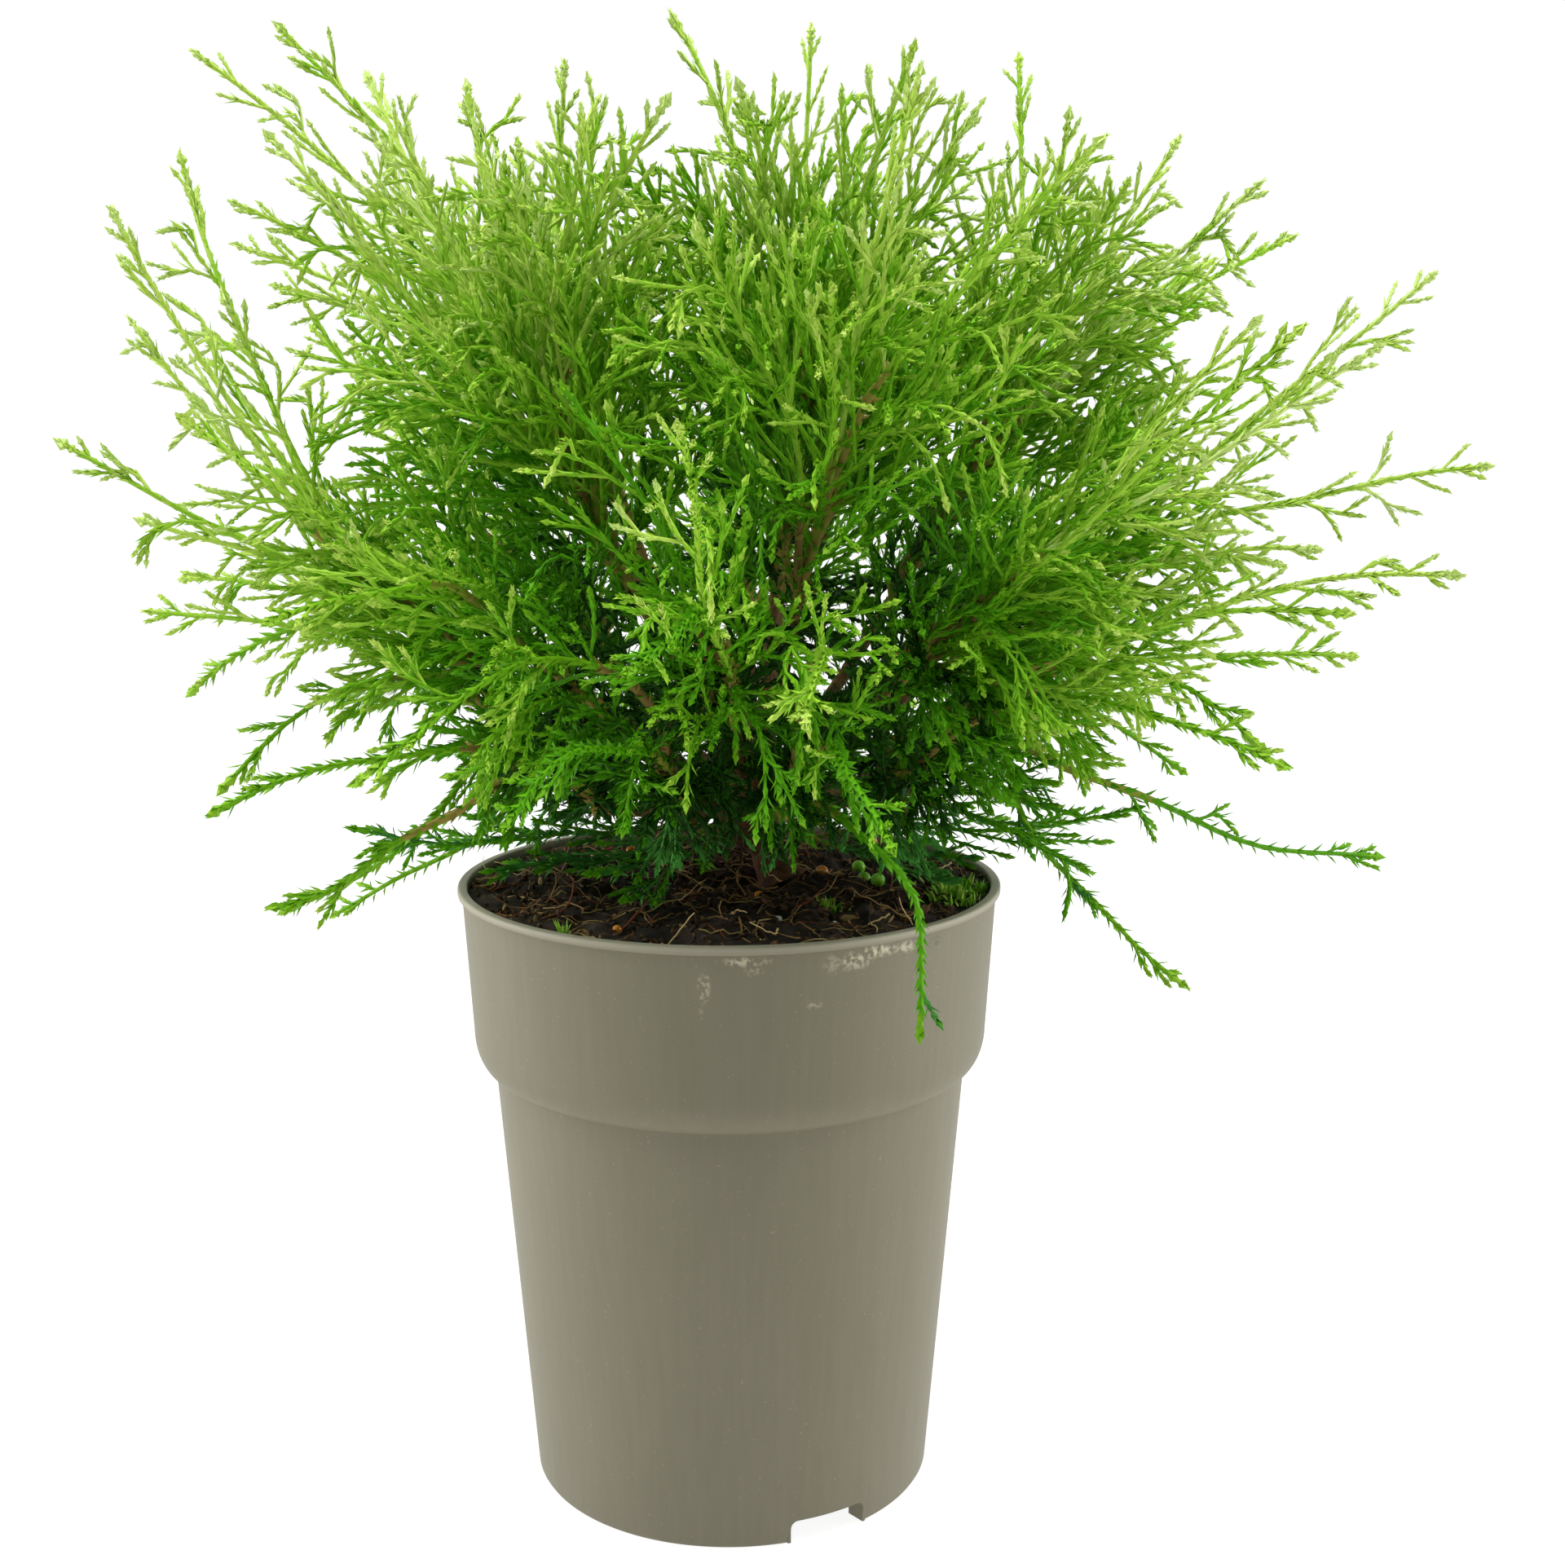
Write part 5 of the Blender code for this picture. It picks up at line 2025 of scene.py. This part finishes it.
    def lay_roots(self) -> None:
        """Lay fine dead roots and straw over the mound, some with an end in the air."""
        tones = [Finish(*tone).make() for tone in self.root_tones]
        dice = Random(f"{SEED} roots")
        bed = Bed()
        for _ in range(self.roots):
            x, y = self.spot(dice, self.root_reach)
            heading = dice.uniform(0, 2 * pi)
            length = dice.uniform(*self.root_length) * MM
            curl = dice.gauss(0.0, self.root_curl)
            lift = dice.uniform(*self.root_lift) * MM if dice.random() < self.root_free else 0.0
            line = []
            for index in range(self.root_steps):
                share = index / (self.root_steps - 1)
                high = self.height_at(x, y) + self.root_rise + lift * share**self.root_arch
                line.append((x, y, high + dice.uniform(*self.root_rough) * MM))
                heading += curl + dice.gauss(0.0, self.root_waver)
                x += cos(heading) * length / self.root_steps
                y += sin(heading) * length / self.root_steps
                if hypot(x, y) > self.radius - 1.0 * MM:
                    break
            if len(line) > 3:
                taper = 1.0 - self.root_taper * np.linspace(0.0, 1.0, len(line))
                girths = dice.uniform(*self.root_girth) * MM * taper
                tint = dice.choice((0, 0, 1, 1, 2, 3))
                bed.add(place=np.array(line), girth=girths, tint=np.full(len(line), tint))
        piece = new_object("dead_roots", bed.mesh("dead_roots", lines=True))
        run_tree(piece, tube_tree(tones), {"Sides": self.root_sides, "Girth scale": 1.0})
        hand_in(piece, "soil")

    def lay_grains(self) -> None:
        """Set the round coated fertiliser grains and a few white grains of perlite on the soil."""
        around, up = self.grain_sides
        for title, finish, places in self.grains:
            shape = bmesh.new()
            for x, y, radius in places:
                place = Vector((x, y, 0.0)) * MM
                place.z = self.height_at(place.x, place.y) + self.grain_rise * radius * MM
                bmesh.ops.create_uvsphere(
                    shape, u_segments=around, v_segments=up, radius=radius * MM,
                    matrix=Matrix.Translation(place),
                )
            piece = new_object(title, mesh_of(title, shape), Finish(*finish).make())
            piece.data.shade_smooth()
            hand_in(piece, "soil")

    def lay_moss(self) -> None:
        """Stand short green shoots of moss in a few spots."""
        dice = Random(f"{SEED} moss")
        tones = [Finish(*tone).make() for tone in self.moss_tones]
        bed = Bed()
        for across, away, spread in self.moss_spots:
            for _ in range(round(self.moss_per_size * spread)):
                x = (across + dice.gauss(0.0, spread / 2)) * MM
                y = (away + dice.gauss(0.0, spread / 2)) * MM
                if hypot(x, y) > self.radius - 1.5 * MM:
                    continue
                aim = Vector((dice.gauss(0, 0.5), dice.gauss(0, 0.5), 1.0)).normalized()
                bed.put(
                    place=(x, y, self.height_at(x, y) - 0.3 * MM), aim=aim,
                    face=leaning_off(aim, 90.0, dice.uniform(0, 360)),
                    size=[*self.moss_size, dice.uniform(*self.moss_length) * MM],
                    tint=dice.choice((0, 1, 1, 2)),
                )
        shape = leaf_shape(tones[0])
        piece = new_object("moss_tufts", bed.mesh("moss_tufts"))
        run_tree(piece, leaf_tree(tones), {"Leaf": shape, "Size spread": self.loose_spread, "Seed": SEED})
        bpy.data.objects.remove(shape)
        hand_in(piece, "soil")


@dataclass
class Limbs:
    """The short stem with its knuckle, and the boughs, all with the relief of their bark."""

    crown: Crown
    flare_radius: float = 8.5 * MM
    neck_radius: float = 5.2 * MM
    neck_share: float = 0.3
    flare_fall: float = 3.5
    stem_steps: int = 46
    stem_sides: int = 56
    stem_foot: tuple = (14.0 * MM, -3.0 * MM)
    ridge: float = 0.9 * MM
    # The bark's ridges: how many round the wood, their length in millimetres and their share.
    bark_ridges: tuple = ((3.2, 26.0, 0.55), (8.0, 7.0, 0.3))
    bark_flakes: tuple = (2.6, 0.15)
    stem_sunk: float = 1.5 * MM
    stem_short: float = 0.3 * MM
    least_ball: float = 0.8 * MM
    swell_from: float = 1.3
    swell_to: float = 0.2
    bough_radii: tuple = (2.0 * MM, 1.5 * MM)
    bough_steps: int = 16
    bough_sides: int = 14
    bough_ridge: float = 0.35 * MM

    def relief(self, point: Vector, turn: float, height: float) -> float:
        """How far the bark stands out there, in long ridges that wander a little.

        Args:
            point: A place on the bark.
            turn: Its turn about the wood, in radians.
            height: How far along the wood it is, in metres.

        Returns:
            How far out it stands, from about -1 to 1.
        """
        out = 0.0
        for count, length, share in self.bark_ridges:
            place = Vector((cos(turn) * count, sin(turn) * count, height * per(length)))
            out += share * noise.noise(place)
        length, share = self.bark_flakes
        return out + share * noise.noise(point * per(length))

    def loft(self, points: list[Vector], radii: list[float], sides: int, ridge: float) -> tuple[list, list]:
        """Rings with relief round a line, closed at both ends.

        Args:
            points: The line.
            radii: The radius at each of its points.
            sides: How many points a ring has.
            ridge: How far the bark's ridges stand out.

        Returns:
            The points and the faces.
        """
        made: list[Vector] = []
        faces: list[tuple[int, ...]] = []
        side = (points[1] - points[0]).orthogonal().normalized()
        for index, (point, radius) in enumerate(zip(points, radii)):
            before, after = points[max(index - 1, 0)], points[min(index + 1, len(points) - 1)]
            axis = (after - before).normalized()
            side = (side - axis * side.dot(axis)).normalized()
            for step in range(sides):
                turn = 2 * pi * step / sides
                out = Quaternion(axis, turn) @ side
                rise = self.relief(point + out * radius, turn, index * (points[1] - points[0]).length)
                made.append(point + out * (radius + ridge * rise))
                if index:
                    here, last, beside = index * sides, (index - 1) * sides, (step + 1) % sides
                    faces.append((last + step, last + beside, here + beside, here + step))
        faces.append(tuple(range(sides)))
        faces.append(tuple((len(points) - 1) * sides + step for step in range(sides)))
        return made, faces

    def build(self) -> None:
        """Make the stem and the boughs."""
        bark = Mottled(
            "fibrous_bark", "#4a2a18", 0.85, "#7c5232", patch=2.4, grain=0.5, stretch=3.0, depth=0.3
        ).make()
        self.build_stem(bark)
        young = Mottled("young_bark", "#5c3e22", 0.8, "#8e6e3c", patch=2.0, grain=0.4, depth=0.2).make()
        self.build_boughs(young)

    def build_stem(self, material: Material) -> None:
        """The stem: flared at the soil, drawn in at its neck and swollen where the boughs leave it.

        Args:
            material: The bark.
        """
        low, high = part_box("trunk")
        fork = self.crown.rule.fork
        knuckle = self.crown.rule.knuckle_radius
        ground = low.z - self.stem_sunk
        neck_z = ground + self.neck_share * (fork.z - ground)
        points = []
        radii = []
        for index in range(self.stem_steps):
            height = ground + (high.z - self.stem_short - ground) * index / (self.stem_steps - 1)
            lean = min(1.0, max(0.0, (height - ground) / (fork.z - ground)))
            across, away = (between(foot, top, lean) for foot, top in zip(self.stem_foot, fork))
            points.append(Vector((across, away, height)))
            fall = exp(-self.flare_fall * (height - ground) / (neck_z - ground))
            flare = between(self.neck_radius, self.flare_radius, fall)
            ball = sqrt(max(knuckle**2 - (height - fork.z) ** 2, self.least_ball**2))
            rise = (fork.z - knuckle * self.swell_from, fork.z - knuckle * self.swell_to)
            swell = smooth_step(*rise, height)
            radii.append(flare * (1 - swell) + ball * swell)
        made, faces = self.loft(points, radii, self.stem_sides, self.ridge)
        hand_in(solid("bark_stem", made, faces, material), "bark", "trunk")

    def build_boughs(self, material: Material) -> None:
        """All the boughs as one piece, each sunk in the knuckle and carried on by its mass's stem.

        Args:
            material: The bark.
        """
        all_points: list[Vector] = []
        all_faces: list[tuple[int, ...]] = []
        shares = [index / self.bough_steps for index in range(self.bough_steps + 1)]
        radii = [between(*self.bough_radii, share) for share in shares]
        for root, middle, end in self.crown.boughs.values():
            points = [root.lerp(middle, share).lerp(middle.lerp(end, share), share) for share in shares]
            made, faces = self.loft(points, radii, self.bough_sides, self.bough_ridge)
            base = len(all_points)
            all_points += made
            all_faces += [tuple(base + corner for corner in face) for face in faces]
        boughs = solid("bark_boughs", all_points, all_faces, material)
        hand_in(boughs, "twig_bark", *(f"bough_{name}" for name in self.crown.boughs))


@dataclass
class Studio:
    """The floor, the lights and the camera, in metres, watts and degrees."""

    eye: tuple = (0.01467, -0.56618, 0.3043)
    pitch: float = 10.69
    long_side: int = 1924
    focal_pixels: float = 2560.7
    sensor: float = 36.0
    floor_size: float = 60.0
    floor_glow: float = 0.9
    room_light: tuple = (0.03, 0.8)
    room_depth: tuple = (-0.65, 0.6)
    lit_point: tuple = (0.0, 0.0, 0.2)
    panels: tuple = (
        ("left_panel", (-1.1, 0.05, 0.5), (0.8, 1.2), 12.0),
        ("right_panel", (1.1, 0.05, 0.5), (0.8, 1.2), 10.5),
        ("top_panel", (-0.1, -0.25, 1.4), (0.9, 0.9), 18.0),
    )

    def build(self) -> None:
        """Set up the floor, the light and the camera."""
        bpy.context.scene.view_settings.view_transform = "Standard"
        self.build_floor()
        self.build_room()
        for panel in self.panels:
            self.build_panel(*panel)
        self.build_camera()

    def build_floor(self) -> None:
        """A wide pale floor of matt acrylic with lamps behind it, which isn't the object's."""
        shape = bmesh.new()
        bmesh.ops.create_grid(shape, x_segments=1, y_segments=1, size=self.floor_size)
        material, _, shader = Finish("opal_acrylic", "#7c7c7a", 0.9).begin()
        shader.inputs["Emission Color"].default_value = linear("#ffffff")
        shader.inputs["Emission Strength"].default_value = self.floor_glow
        new_object("studio_floor", mesh_of("studio_floor", shape), material)

    def build_room(self) -> None:
        """A white room whose light comes mostly from behind the plant."""
        world = bpy.data.worlds.new("white_room")
        world.use_nodes = True
        bpy.context.scene.world = world
        tree = world.node_tree
        way = add_node(tree, "ShaderNodeTexCoord").outputs["Generated"]
        depth = add_node(tree, "ShaderNodeSeparateXYZ", {0: way}).outputs["Y"]
        names = ("From Min", "From Max", "To Min", "To Max")
        feeds = {"Value": depth, **dict(zip(names, (*self.room_depth, *self.room_light)))}
        room = add_node(tree, "ShaderNodeMapRange", feeds).outputs["Result"]
        seen = add_node(tree, "ShaderNodeLightPath").outputs["Is Camera Ray"]
        feeds = {"Factor": seen, "A": room, "B": 1.0}
        strength = add_node(tree, "ShaderNodeMix", feeds, data_type="FLOAT").outputs[0]
        sky = tree.nodes["Background"]
        sky.inputs["Color"].default_value = linear("#ffffff")
        tree.links.new(strength, sky.inputs["Strength"])

    def build_panel(self, name: str, place: tuple, size: tuple, power: float) -> None:
        """A large soft light that faces the plant.

        Args:
            name: Its name.
            place: Where it is, in metres.
            size: Its width and height.
            power: Its power, in watts.
        """
        light = bpy.data.lights.new(name, "AREA")
        light.shape = "RECTANGLE"
        light.size, light.size_y = size
        light.energy = power
        lamp = bpy.data.objects.new(name, light)
        lamp.location = place
        aim = Vector(self.lit_point) - lamp.location
        lamp.rotation_euler = aim.to_track_quat("-Z", "Y").to_euler()
        bpy.context.scene.collection.objects.link(lamp)

    def build_camera(self) -> None:
        """The photograph's camera: its place, its pitch and its lens."""
        data = bpy.data.cameras.new("front_view")
        data.sensor_width = self.sensor
        data.lens = self.focal_pixels * self.sensor / self.long_side
        camera = bpy.data.objects.new("front_view", data)
        camera.location = self.eye
        camera.rotation_euler = Euler((radians(90.0 - self.pitch), 0.0, 0.0))
        bpy.context.scene.collection.objects.link(camera)
        bpy.context.scene.camera = camera


def main() -> None:
    """Load the frame and build every sub-assembly round it."""
    logging.basicConfig(level=logging.INFO, format="%(message)s")
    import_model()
    Studio().build()
    Pot().build()
    Soil().build()
    crown = Crown()
    crown.grow()
    grown = [shoot for shoots in crown.shoots.values() for shoot in shoots]
    LOG.info("%d shoots, %.1f m", len(grown), sum(shoot.length() for shoot in grown))
    Limbs(crown).build()
    Foliage(crown).build(tint_materials())


if __name__ == "__main__":
    main()
